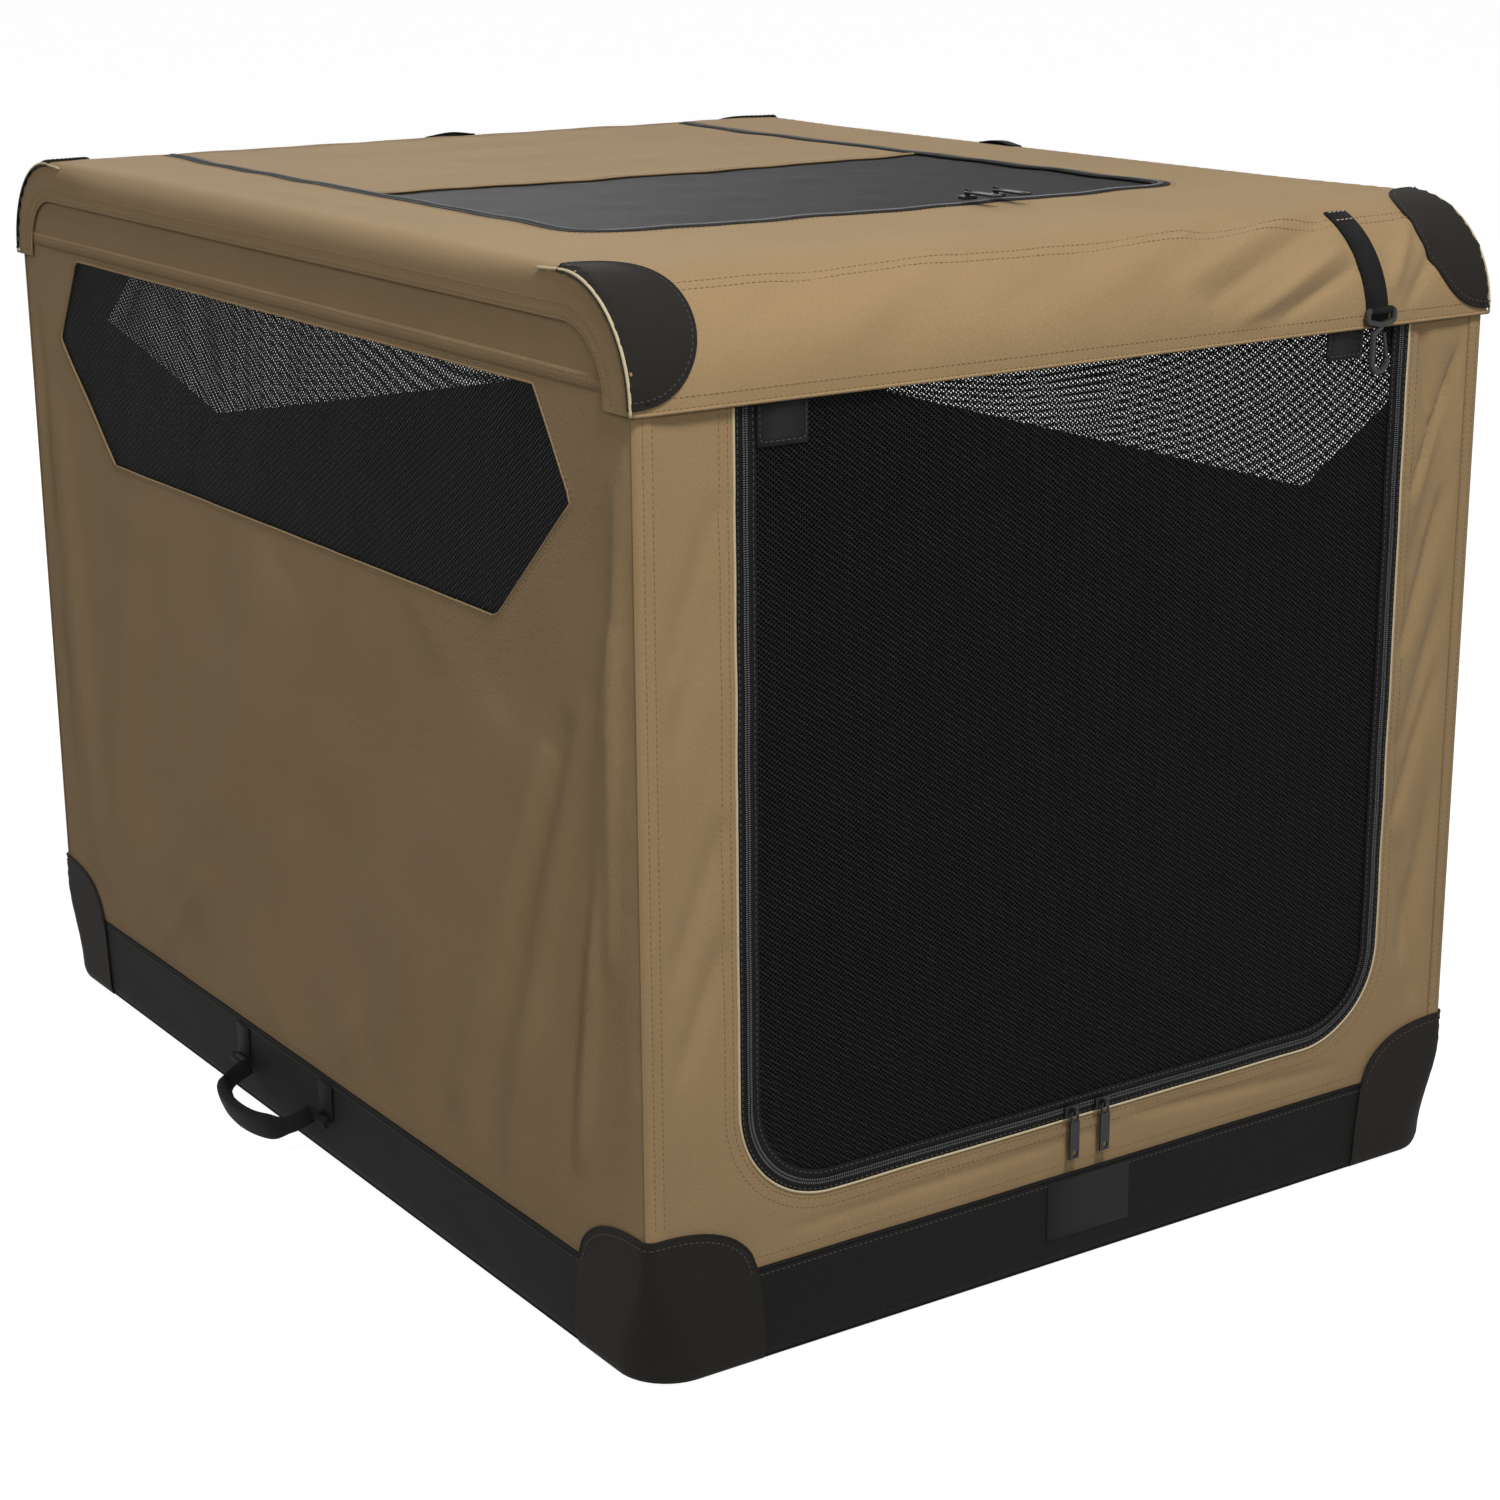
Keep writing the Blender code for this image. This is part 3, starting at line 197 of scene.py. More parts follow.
def resampled(points, step, closed=False):
    """The line with points added so that no stretch is longer than the step."""
    points = np.array(points, float)
    ends = np.roll(points, -1, 0) if closed else points[1:]
    line = []
    for start, end in zip(points, ends):
        count = max(1, int(math.ceil(np.linalg.norm(end - start) / step)))
        line.extend(start + (end - start) * index / count for index in range(count))
    if not closed:
        line.append(points[-1])
    return np.array(line)


def lengths_along(points):
    return np.concatenate([[0.0], np.cumsum(np.linalg.norm(np.diff(points, axis=0), axis=1))])


def evenly(points, step):
    """Points at equal distances along the line."""
    points = np.array(points, float)
    along = lengths_along(points)
    count = max(2, int(round(along[-1] / step)) + 1)
    at = np.linspace(0, along[-1], count)
    return np.stack([np.interp(at, along, points[:, axis]) for axis in range(points.shape[1])], 1)


def directions(points):
    """The unit direction at each point of a line."""
    ahead = np.gradient(points, axis=0)
    return ahead / np.linalg.norm(ahead, axis=1)[:, None]


def left_of(ahead):
    return np.stack([-ahead[:, 1], ahead[:, 0]], 1)


def rounded(points, radii, closed=False, steps=10):
    """A flat line with an arc of the given radius at each corner."""
    line = []
    count = len(points)
    for index, point in enumerate(points):
        here = Vector(point)
        if (not closed and index in (0, count - 1)) or not radii[index]:
            line.append(tuple(here))
            continue
        before = (Vector(points[index - 1]) - here).normalized()
        after = (Vector(points[(index + 1) % count]) - here).normalized()
        half = before.angle(after) / 2
        centre = here + (before + after).normalized() * (radii[index] / math.sin(half))
        start = here + before * (radii[index] / math.tan(half)) - centre
        side = math.copysign(1, before.x * after.y - before.y * after.x)
        for step in range(steps + 1):
            angle = -side * (math.pi - 2 * half) * step / steps
            line.append(tuple(centre + Matrix.Rotation(angle, 2) @ start))
    return line


def track(points, start=0.0, closed=False):
    """A flat line as a function of the distance along it, giving a point and its left normal."""
    points = evenly(np.array(points + points[:1] if closed else points), 0.002)
    along = lengths_along(points) + start
    tangents = np.gradient(points, axis=0)
    if closed:
        tangents[0] = tangents[-1] = points[1] - points[-2]
    tangents /= np.linalg.norm(tangents, axis=1)[:, None]
    left = left_of(tangents)

    def read(s):
        place = [np.interp(s, along, points[:, axis]) for axis in (0, 1)]
        normal = [np.interp(s, along, left[:, axis]) for axis in (0, 1)]
        return place, normal

    return read, along[-1]


def arc(x, y, radius, first, last, steps):
    """Points round a centre between two angles in degrees."""
    turns = np.radians(np.linspace(first, last, steps + 1))
    return [(x + radius * math.cos(turn), y + radius * math.sin(turn)) for turn in turns]


def smooth(value, low, high):
    share = np.clip((value - low) / (high - low), 0, 1)
    return share * share * (3 - 2 * share)


def ripple(u, v, size, height, phase):
    """Soft waves in five directions, without a visible repeat."""
    total = np.zeros_like(u)
    for index in range(5):
        angle = phase + 2.4 * index
        turns = 2 * math.pi * (1 + 0.37 * index) / size
        total += np.sin(turns * (u * math.cos(angle) + v * math.sin(angle)) + 1.7 * index + phase)
    return total * height / 5


def ridges(rows, u, v):
    """Folds in the cloth: each row is a line (u0, v0, u1, v1), a half width and a height."""
    total = np.zeros_like(u)
    for u0, v0, u1, v1, width, height in rows:
        du = u1 - u0
        dv = v1 - v0
        share = np.clip(((u - u0) * du + (v - v0) * dv) / (du * du + dv * dv), 0, 1)
        away = np.hypot(u - u0 - share * du, v - v0 - share * dv)
        total += height * np.exp(-((away / width) ** 2)) * np.sqrt(4 * share * (1 - share) + 1e-9)
    return total


# Surfaces that the cloth lies on: each turns (u, v) and a lift into points in space


def surface(base, relief, flip=1):
    """Relief and lift go along the base's normal; flip turns that to the outside."""
    step = 0.0004

    def point(u, v, lift=0.0):
        u, v = np.broadcast_arrays(np.asarray(u, float), np.asarray(v, float))
        across = base(u + step, v) - base(u - step, v)
        up = base(u, v + step) - base(u, v - step)
        normal = np.cross(across, up)
        normal *= flip / np.linalg.norm(normal, axis=-1)[..., None]
        return base(u, v) + normal * (relief(u, v) + lift)[..., None]

    point.flip = flip
    return point


def from_tenths(rows):
    """Rows written in tenths of a millimetre."""
    return [tuple(value / 10000 for value in row) for row in rows]


FRONT_FOLDS = from_tenths([
    (3780, 6950, 3260, 5600, 50, -85),
    (3720, 6500, 3300, 5000, 90, -60),
    (3760, 6000, 3220, 4300, 60, -70),
    (3740, 5000, 3280, 3500, 70, -60),
    (3700, 4300, 3220, 2900, 60, -50),
    (3260, 6980, 3400, 6100, 50, -50),
    (3720, 3300, 3400, 1700, 80, -50),
    (3300, 2800, 3600, 1300, 70, -40),
    (-3220, 6400, -3660, 5200, 100, -30),
    (-3180, 4200, -3660, 3000, 90, -30),
    (-3220, 3300, -3600, 2300, 80, -30),
    (-3300, 5800, -3620, 4600, 90, -24),
    (-2800, 940, 500, 1010, 50, -24),
    (500, 1050, 2800, 930, 50, -26),
])
SIDE_FOLDS = from_tenths([
    (-4700, 5000, -3300, 1000, 130, 67),
    (-4400, 4800, -2900, 1100, 120, -53),
    (-4100, 4500, -2500, 1200, 150, 60),
    (-5000, 5600, -4400, 1400, 110, 60),
    (-4900, 4800, -4200, 1200, 90, -45),
    (-5120, 6600, -4880, 3000, 80, 45),
    (-3400, 4700, -1300, 1200, 340, 53),
    (-2300, 5000, 600, 1000, 500, -45),
    (200, 5000, 2400, 1400, 450, 53),
    (3000, 5000, 4200, 1000, 300, 45),
    (4700, 5800, 4400, 1200, 200, 60),
    (5050, 6600, 4900, 2000, 100, -45),
    (1800, 2000, 3000, 900, 120, 30),
    (-1000, 1600, -500, 800, 100, 24),
])
REAR_FOLDS = from_tenths([
    (-3400, 6000, -2500, 2000, 200, 35),
    (3300, 6200, 2700, 1600, 180, 40),
    (-1000, 4800, 1000, 1200, 400, 35),
    (3600, 5000, 3400, 1400, 120, -25),
    (-3600, 5000, -3500, 1400, 120, 30),
])
SHELL_FOLDS = from_tenths([
    (2580, 660, 1200, 100, 65, 60),
    (2620, 500, 1600, 80, 50, -45),
    (2540, 920, 1000, 300, 70, -50),
    (2460, 1080, 800, 460, 80, 50),
    (3350, 880, 2860, 240, 60, 45),
    (3480, 600, 3000, 100, 55, -40),
    (2400, 1280, 1100, 860, 90, -30),
    (1500, 1100, 0, 500, 140, 34),
    (600, 1000, -900, 400, 140, -26),
    (-1000, 1000, -2400, 300, 150, 30),
    (-1800, 1100, -3000, 500, 120, -22),
    (-2900, 1500, -1700, 2600, 160, 20),
    (2600, 1800, 3400, 2700, 120, 26),
    (600, 1500, 1500, 2700, 160, 20),
    (-2500, 6600, 1800, 7200, 180, -26),
    (-2000, 7400, 2300, 7600, 160, 26),
    (-1000, 8600, 2400, 8000, 160, 26),
    (-2000, 9300, 1600, 9600, 150, -24),
    (-3300, 4000, -3450, 8000, 140, 20),
])


def wall_fade(v):
    """Folds die out towards the band and under the header."""
    return smooth(v, BAND_Z, FOLD_TOP_Z) * (1 - smooth(v, 0.690, 0.735))


def foot_fade(v):
    """The cloth lies flat where it goes behind the band."""
    return smooth(v, BAND_Z - 0.002, BAND_Z + 0.022)


def foot_round(v):
    """The small inward turn at the floor."""
    return 0.004 * np.clip(1 - v / FOOT_ROUND, 0, 1) ** 2


def turned_edge(u, flat, radius):
    """A sheet that turns a rounded edge: how far out it reaches and how far back."""
    over = np.clip(np.abs(u) - flat, 0, None)
    angle = np.clip(over / radius, 0, math.pi / 2)
    rest = np.clip(over - radius * math.pi / 2, 0, None)
    reach = np.sign(u) * (np.minimum(np.abs(u), flat) + radius * np.sin(angle))
    return reach, radius * (1 - np.cos(angle)) + rest


def front_base(u, v):
    """The front wall, which goes on round the bend under the shell's header."""
    radius = BEND_R - (HALF_L - FRONT_Y)
    angle = np.clip(v - BEND_Z, 0, None) / radius
    y = -FRONT_Y + radius * (1 - np.cos(angle))
    return np.stack([u, y, np.minimum(v, BEND_Z) + radius * np.sin(angle)], -1)


def front_relief(u, v):
    folds = ridges(FRONT_FOLDS, u, v) * wall_fade(v)
    under = -0.0016 * smooth(v, HEM_Z, HEM_Z + 0.02)
    edge = smooth(np.abs(u), 0.358, 0.373)
    soft = (folds + ripple(u, v, 0.16, 0.0007, 0.6)) * (1 - edge) + 0.0013 * edge
    return soft * foot_fade(v) + under - 0.0004 * (1 - foot_fade(v))


def rear_base(u, v):
    return np.stack([u, np.full_like(u, REAR_Y), v], -1)


def rear_relief(u, v):
    folds = ridges(REAR_FOLDS, u, v) * wall_fade(v)
    edge = 1 - smooth(np.abs(u), 0.360, 0.375)
    soft = (folds + ripple(u, v, 0.17, 0.0007, 2.1)) * edge
    return soft * foot_fade(v) - 0.0004 * (1 - foot_fade(v))


def side_base(side):
    """A side wall, whose ends turn the corner on to the front and the rear."""

    def base(u, v):
        y, back = turned_edge(u, WALL_Y - EDGE_R, EDGE_R)
        return np.stack([side * (WALL_X - back), y, v], -1)

    return base


def side_relief(side):
    """Folds, calm round the window, clear of the knees and under the corner strips."""

    def relief(u, v):
        end = 1 - smooth(np.abs(u), 0.505, 0.522)
        window = ridges([(-0.40, 0.62, 0.40, 0.62, 0.10, 0.0012)], u, v)
        wave = ripple(u, v, 0.19, 0.0008, 1.0 + side) * (1 - smooth(np.abs(u), 0.518, 0.530))
        total = (ridges(SIDE_FOLDS, u, v) * wall_fade(v) - window) * end + wave
        knee = np.hypot(np.abs(u) - KNEE_Y, v - KNEE_Z)
        total = np.where(total < 0, total * smooth(knee, 0.025, 0.060), total)
        under = CLOTH * 1.1 * smooth(np.abs(u), WALL_Y - EDGE_R - 0.007, WALL_Y - EDGE_R)
        return total * foot_fade(v) - 0.0006 * (1 - foot_fade(v)) - under

    return relief


def shell_profile():
    """The wrap's outer line in (y, z), from below the front hem to below the rear hem."""
    front = [(-HALF_L, HEM_Z - MARGIN), *arc(-BEND_Y, BEND_Z, BEND_R, 180, 90, 32)]
    return front + [(-y, z) for y, z in reversed(front)]


SHELL_TRACK, _ = track(shell_profile(), -MARGIN)


def roll_radius(v):
    """The soft roll between top and side, tight at the bends."""
    near = np.minimum(v, WRAP_LENGTH - v)
    share = smooth(near, TOP_START - 0.03, TOP_START + ROLL_START)
    return ROLL_R_END + (ROLL_R - ROLL_R_END) * share


def shell_edge(v):
    """How far the wrap reaches from its middle, down to the edge of its side flange."""
    radius = roll_radius(v)
    return HALF_W - radius + radius * math.pi / 2 + FLANGE - radius


def shell_base(u, v):
    """The wrap over front, top and rear, with its sides turned down."""
    place, normal = SHELL_TRACK(v)
    radius = roll_radius(v)
    x, depth = turned_edge(u, HALF_W - radius, radius)
    return np.stack([x, place[0] - normal[0] * depth, place[1] - normal[1] * depth], -1)


def shell_relief(u, v):
    inner = 1 - smooth(np.abs(u), 0.345, 0.380)
    near = np.minimum(v, WRAP_LENGTH - v)
    top = smooth(near, TOP_START, TOP_START + 0.12)
    sag = -0.0035 * top * np.cos(np.clip(u / HALF_W, -1, 1) * math.pi / 2)
    hem = smooth(near, 0.0, 0.03)
    folds = ridges(SHELL_FOLDS, u, v) + ripple(u, v, 0.15, 0.0009, 3.0)
    return (folds * hem + sag) * inner


def base_loop(inset):
    """The base's outline from the middle of its rear, all the way round."""
    x = WALL_X + inset
    y = WALL_Y + inset
    r = BASE_CORNER_R
    return rounded([(0, y), (-x, y), (-x, -y), (x, -y), (x, y)], [0, r, r, r, r], True)


LOOP_TRACK, LOOP_LENGTH = track(base_loop(0.0), closed=True)


def band_base(u, v):
    place, _ = LOOP_TRACK(np.mod(u, LOOP_LENGTH))
    return np.stack([place[0], place[1], v], -1)


def band_relief(u, v):
    wave = ripple(u, v * 2, 0.20, 0.0006, 0.3) * smooth(v, 0.0, 0.02)
    return 0.0005 - foot_round(v) + wave


def patch_base(side, end):
    """The base corner: round at the floor, nearly square at the patch's top."""

    def base(u, v):
        radius = BASE_CORNER_R + (PATCH_TOP_R - BASE_CORNER_R) * smooth(v, 0.010, FOOT_TURN_Z)
        half = radius * math.pi / 4
        turn = np.clip(u, -half, half) / radius
        rest = np.clip(np.abs(u) - half, 0, None)
        x0 = WALL_X + PATCH_PROUD - radius
        y0 = WALL_Y + PATCH_PROUD - radius
        angle = math.pi / 4 + turn
        x = x0 + radius * np.cos(angle) - np.where(u > 0, rest, 0)
        y = y0 + radius * np.sin(angle) - np.where(u < 0, rest, 0)
        return np.stack([side * x, end * y, v], -1)

    return base


def patch_relief(u, v):
    return 0.0009 - 0.0008 * smooth(v, 0.070, 0.112) - foot_round(v)


def still(u, v):
    return np.zeros_like(u)


def floor_base(u, v):
    return np.stack([u, v, np.full_like(u, 0.0016)], -1)


FRONT = surface(front_base, front_relief)
REAR = surface(rear_base, rear_relief, -1)
SHELL = surface(shell_base, shell_relief)
BAND = surface(band_base, band_relief)
SIDES = {side: surface(side_base(side), side_relief(side), side) for side in HANDS}
FLOOR_SURFACE = surface(floor_base, still)


# Meshes


def inside(points, outline):
    """Which points lie in a closed outline."""
    x = points[:, 0:1]
    y = points[:, 1:2]
    start = np.array(outline)
    end = np.roll(start, -1, 0)
    crosses = (start[:, 1] > y) != (end[:, 1] > y)
    rise = np.where(np.abs(end[:, 1] - start[:, 1]) < 1e-12, 1e-12, end[:, 1] - start[:, 1])
    at = (end[:, 0] - start[:, 0]) * (y - start[:, 1]) / rise + start[:, 0]
    return np.sum(crosses & (x < at), axis=1) % 2 == 1


def away_from(points, others, distance):
    """The points that keep a distance from the others."""
    if not len(others):
        return points
    nearest = np.full(len(points), 9.0)
    for chunk in np.array_split(others, 1 + len(others) // 400):
        nearest = np.minimum(nearest, np.linalg.norm(points[:, None] - chunk[None], axis=2).min(1))
    return points[nearest > distance]


def fold_points(folds, spacing):
    """Points along each fold and beside it, so that its shape is kept."""
    rows = [np.empty((0, 2))]
    for u0, v0, u1, v1, width, _ in folds:
        if width > spacing * 2:
            continue
        line = resampled([(u0, v0), (u1, v1)], spacing)
        aside = np.array([v0 - v1, u1 - u0]) / math.hypot(u1 - u0, v1 - v0)
        rows += [line + aside * width * share for share in (-1.7, -1.1, -0.55, 0, 0.55, 1.1, 1.7)]
    return np.concatenate(rows)


def filled(outline, holes, spacing, folds, lines):
    """Triangles that fill an outline, as flat points and faces."""
    rings = [resampled(ring_points, spacing, True) for ring_points in (outline, *holes)]
    lines = [resampled(line, spacing) for line in lines]
    low = rings[0].min(0)
    high = rings[0].max(0)
    rows = np.arange(low[1] + spacing / 2, high[1], spacing * 0.87)
    columns = np.arange(low[0] + spacing / 2, high[0], spacing)
    shift = spacing / 2
    grid = [(x + (row % 2) * shift, y) for row, y in enumerate(rows) for x in columns]

    def on_cloth(points):
        keep = inside(points, rings[0])
        for hole in rings[1:]:
            keep &= ~inside(points, hole)
        return keep

    def kept(points):
        return points[on_cloth(points)]

    fixed = np.concatenate(rings + lines)
    extra = away_from(kept(fold_points(folds, spacing)), fixed, spacing * 0.3)
    grid = away_from(kept(np.array(grid)), fixed, spacing * 0.55)
    grid = away_from(grid, extra, spacing * 0.5)
    edges = []
    first = 0
    for index, line in enumerate(rings + lines):
        count = len(line)
        last = count if index < len(rings) else count - 1
        edges += [(first + row, first + (row + 1) % count) for row in range(last)]
        first += count
    points = np.concatenate([fixed, extra, grid])
    made = delaunay_2d_cdt([Vector(point) for point in points], edges, [], 0, 1e-7)
    flat = np.array([tuple(vert) for vert in made[0]])
    faces = np.array([face for face in made[2] if len(face) == 3])
    return flat, faces[on_cloth(flat[faces].mean(1))]


def linked(name, data):
    """A new object in the scene."""
    obj = bpy.data.objects.new(name, data)
    bpy.context.scene.collection.objects.link(obj)
    return obj


def new_mesh(name, points, faces, uvs, material):
    mesh = bpy.data.meshes.new(name)
    mesh.from_pydata(np.asarray(points).tolist(), [], [list(map(int, face)) for face in faces])
    layer = mesh.uv_layers.new(name="cloth")
    index = np.empty(len(mesh.loops), np.int32)
    mesh.loops.foreach_get("vertex_index", index)
    layer.data.foreach_set("uv", np.asarray(uvs, np.float32)[index].ravel())
    mesh.materials.append(material)
    mesh.shade_smooth()
    mesh.validate()
    return linked(name, mesh)


def sharpen_rim(mesh):
    """The open edges stay sharp, so that the thickness doesn't shade the face beside it."""
    used = np.zeros(len(mesh.edges), int)
    index = np.empty(len(mesh.loops), np.int32)
    mesh.loops.foreach_get("edge_index", index)
    np.add.at(used, index, 1)
    mesh.attributes.new("sharp_edge", "BOOLEAN", "EDGE").data.foreach_set("value", used == 1)


def cloth(
    name, where, outline, holes=(), lift=0.0, thickness=CLOTH, look="tan", spacing=SPACING,
    folds=(), lines=(),
):
    """A sheet of cloth on a surface; the inner face of tan cloth gets a dark grey that paints the
    shade inside the crate.
    """
    flat, faces = filled(outline, holes, spacing, folds, lines)
    if where.flip < 0:
        faces = faces[:, ::-1]
    points = where(flat[:, 0], flat[:, 1], lift)
    obj = new_mesh(name, points, faces, flat, LOOKS[look])
    obj.data.materials.append(LOOKS["inside_shade" if look == "tan" else look])
    sharpen_rim(obj.data)
    modifier = obj.modifiers.new("thickness", "SOLIDIFY")
    modifier.thickness = thickness
    modifier.offset = -1
    modifier.material_offset = 1
    return obj


def strip(where, path, section, closed=False, lifts=None):
    """A closed section of (across, lift) pairs drawn along a path on a surface."""
    path = np.array(path, float)
    ahead = np.roll(path, -1, 0) - np.roll(path, 1, 0) if closed else np.gradient(path, axis=0)
    left = left_of(ahead / np.linalg.norm(ahead, axis=1)[:, None])
    section = np.array(section, float)
    extra = np.zeros(len(path)) if lifts is None else np.asarray(lifts)
    rows = []
    for across, lift in section:
        at = path + left * across
        rows.append(where(at[:, 0], at[:, 1], lift + extra))
    points = np.stack(rows, 1)
    along = lengths_along(path)
    if closed:
        points = np.concatenate([points, points[:1]])
        along = np.append(along, along[-1] + np.linalg.norm(path[0] - path[-1]))
    return swept(points, along, section[:, 0], where.flip < 0)


def swept(points, along, across, turned=False):
    """Faces round the rows of a swept section, with both ends closed."""
    count, sides = points.shape[:2]
    faces = []
    for row in range(count - 1):
        for index in range(sides):
            after = (index + 1) % sides
            base = row * sides
            faces.append((base + index, base + sides + index, base + sides + after, base + after))
    faces.append(tuple(range(sides)))
    last = (count - 1) * sides
    faces.append(tuple(range(last + sides - 1, last - 1, -1)))
    if turned:
        faces = [face[::-1] for face in faces]
    uvs = np.stack([np.repeat(along, sides), np.tile(across, count)], 1)
    return points.reshape(-1, 3), faces, uvs


def flat_section(width, low, high):
    """A tape's section, slightly crowned."""
    half = width / 2
    return [(-half, low), (half, low), (half, high * 0.8), (0, high), (-half, high * 0.8)]


def round_section(radius, lift, sides=8):
    return arc(0, lift, radius, 0, 360, sides)[:-1]


CAPSULE_RING = [(1, 0), (0, 1), (-1, 0), (0, -1)]


def stitches(
    where, path, pitch=STITCH_PITCH, length=STITCH, radius=THREAD_R, lift=0.0, cross=0.0
):
    """A row of short raised threads; cross sets them square to the path, that far to its left.

    Each thread has a point at both ends and two rings of four points between them.
    """
    at = evenly(path, pitch)
    at = (at[1:] + at[:-1]) / 2
    ahead = directions(at)
    left = left_of(ahead)
    at = at + left * cross
    run = left if cross else ahead
    middle = where(at[:, 0], at[:, 1], lift)
    raised = where(at[:, 0], at[:, 1], lift + 0.001)
    far = at + run * length / 2
    along = where(far[:, 0], far[:, 1], lift) - middle
    up = (raised - middle) / 0.001
    half = np.linalg.norm(along, axis=1)[:, None]
    along /= half
    aside = np.cross(along, up)
    rows = [middle - along * half]
    for share in (-0.6, 0.6):
        for x, y in CAPSULE_RING:
            rows.append(middle + along * half * share + (aside * x + up * y) * radius)
    rows.append(middle + along * half)
    points = np.stack(rows, 1)
    faces = []
    for index in range(4):
        after = (index + 1) % 4
        faces.append((0, 1 + after, 1 + index))
        faces.append((1 + index, 1 + after, 5 + after, 5 + index))
        faces.append((9, 5 + index, 5 + after))
    count = len(middle)
    every = [tuple(corner + 10 * row for corner in face) for row in range(count) for face in faces]
    return points.reshape(-1, 3), every, np.repeat(at, 10, axis=0)


def joined(name, parts, look):
    """One object from several meshes."""
    first = 0
    faces = []
    for points, part_faces, _ in parts:
        faces += [tuple(corner + first for corner in face) for face in part_faces]
        first += len(points)
    points = np.concatenate([part[0] for part in parts])
    uvs = np.concatenate([part[2] for part in parts])
    return new_mesh(name, points, faces, uvs, LOOKS[look])


# Materials


def new_material(name):
    material = bpy.data.materials.new(name)
    material.use_nodes = True
    tree = material.node_tree
    return material, tree, tree.nodes["Principled BSDF"]


def feed(tree, node, inputs):
    """An input that is given a socket is linked to it, and any other gets the value."""
    for key, value in dict(inputs).items():
        if isinstance(value, bpy.types.NodeSocket):
            tree.links.new(value, node.inputs[key])
        else:
            node.inputs[key].default_value = value


def add(tree, kind, inputs=(), **settings):
    node = tree.nodes.new(kind)
    for key, value in settings.items():
        setattr(node, key, value)
    feed(tree, node, inputs)
    return node


def maths(tree, operation, first, second=0.0, third=0.0):
    node = add(tree, "ShaderNodeMath", {0: first, 1: second, 2: third}, operation=operation)
    return node.outputs[0]


def cloth_uv(tree):
    place = add(tree, "ShaderNodeUVMap", uv_map="cloth").outputs[0]
    parts = add(tree, "ShaderNodeSeparateXYZ", {0: place})
    return place, parts.outputs[0], parts.outputs[1]


def waves(tree, along, period, kind="SINE"):
    return maths(tree, kind, maths(tree, "MULTIPLY", along, 2 * math.pi / period))


def noise(tree, place, scale, detail=2.0):
    inputs = {"Vector": place, "Scale": scale, "Detail": detail}
    return add(tree, "ShaderNodeTexNoise", inputs).outputs[0]


def blend_colours(tree, share, first, second):
    inputs = {0: share, 6: (*first, 1), 7: (*second, 1)}
    return add(tree, "ShaderNodeMix", inputs, data_type="RGBA").outputs[2]


def bump(tree, height, strength, distance):
    inputs = {"Height": height, "Strength": strength, "Distance": distance}
    return add(tree, "ShaderNodeBump", inputs).outputs[0]


def tones(tree, share, colour, low=0.8, high=1.2):
    """A mix of a darker and a lighter tone of the colour."""
    dark, light = ([min(1.0, part * factor) for part in colour] for factor in (low, high))
    return blend_colours(tree, share, dark, light)


def twill(name, colour, contrast, roughness, pitch=0.0017, specular=0.10, sheen=0.0):
    """A fine diagonal weave with uneven yarns and slow changes of tone."""
    material, tree, shader = new_material(name)
    place, u, v = cloth_uv(tree)
    diagonal = waves(tree, maths(tree, "ADD", u, v), pitch)
    cross = waves(tree, maths(tree, "SUBTRACT", u, v), pitch * 0.61)
    weave = maths(tree, "MULTIPLY_ADD", cross, 0.35, diagonal)
    fine = noise(tree, place, 420.0, 3.0)
    slow = noise(tree, place, 7.0, 3.0)
    share = maths(tree, "MULTIPLY_ADD", weave, contrast, 0.5)
    share = maths(tree, "ADD", share, maths(tree, "MULTIPLY_ADD", fine, 0.7, -0.35))
    share = maths(tree, "ADD", share, maths(tree, "MULTIPLY_ADD", slow, 0.5, -0.25))
    height = maths(tree, "ADD", weave, maths(tree, "MULTIPLY", fine, 1.5))
    inputs = {
        "Base Color": tones(tree, share, colour),
        "Normal": bump(tree, height, 0.45, 0.0003),
        "Roughness": roughness,
        "Specular IOR Level": specular,
        "Sheen Weight": sheen,
        "Sheen Roughness": 0.4,
    }
    feed(tree, shader, inputs)
    return material


def net(name, colour, light, openness=0.18, turn=0.0):
    """An open knit: holes in staggered rows, with a painted highlight in rows of dashes on the
    threads between.
    """
    material, tree, shader = new_material(name)
    place, u, v = cloth_uv(tree)
    turned = add(tree, "ShaderNodeMapping", {0: place, 2: (0, 0, turn)}).outputs[0]
    parts = add(tree, "ShaderNodeSeparateXYZ", {0: turned}).outputs
    across = waves(tree, parts[0], NET_HOLE[0], "COSINE")
    up = waves(tree, parts[1], NET_HOLE[1], "COSINE")
    lattice = maths(tree, "MULTIPLY", across, up)
    # Painted highlight: rows of dashes where light would catch the threads, mixed into the colour.
    slant = maths(tree, "MULTIPLY_ADD", u, 0.58, v)
    rows = maths(tree, "GREATER_THAN", waves(tree, slant, 0.0053), 0.55)
    highlight_dashes = maths(tree, "GREATER_THAN", waves(tree, u, 0.0018), 0.1)
    patches = maths(tree, "MULTIPLY_ADD", noise(tree, place, 30.0), 0.8, 0.1)
    share = maths(tree, "MULTIPLY", maths(tree, "MULTIPLY", rows, highlight_dashes), patches)
    inputs = {
        "Base Color": blend_colours(tree, share, colour, light),
        "Normal": bump(tree, lattice, 0.5, 0.0003),
        "Roughness": 0.7,
        "Specular IOR Level": 0.08,
        "Alpha": maths(tree, "LESS_THAN", lattice, openness),
    }
    feed(tree, shader, inputs)
    return material


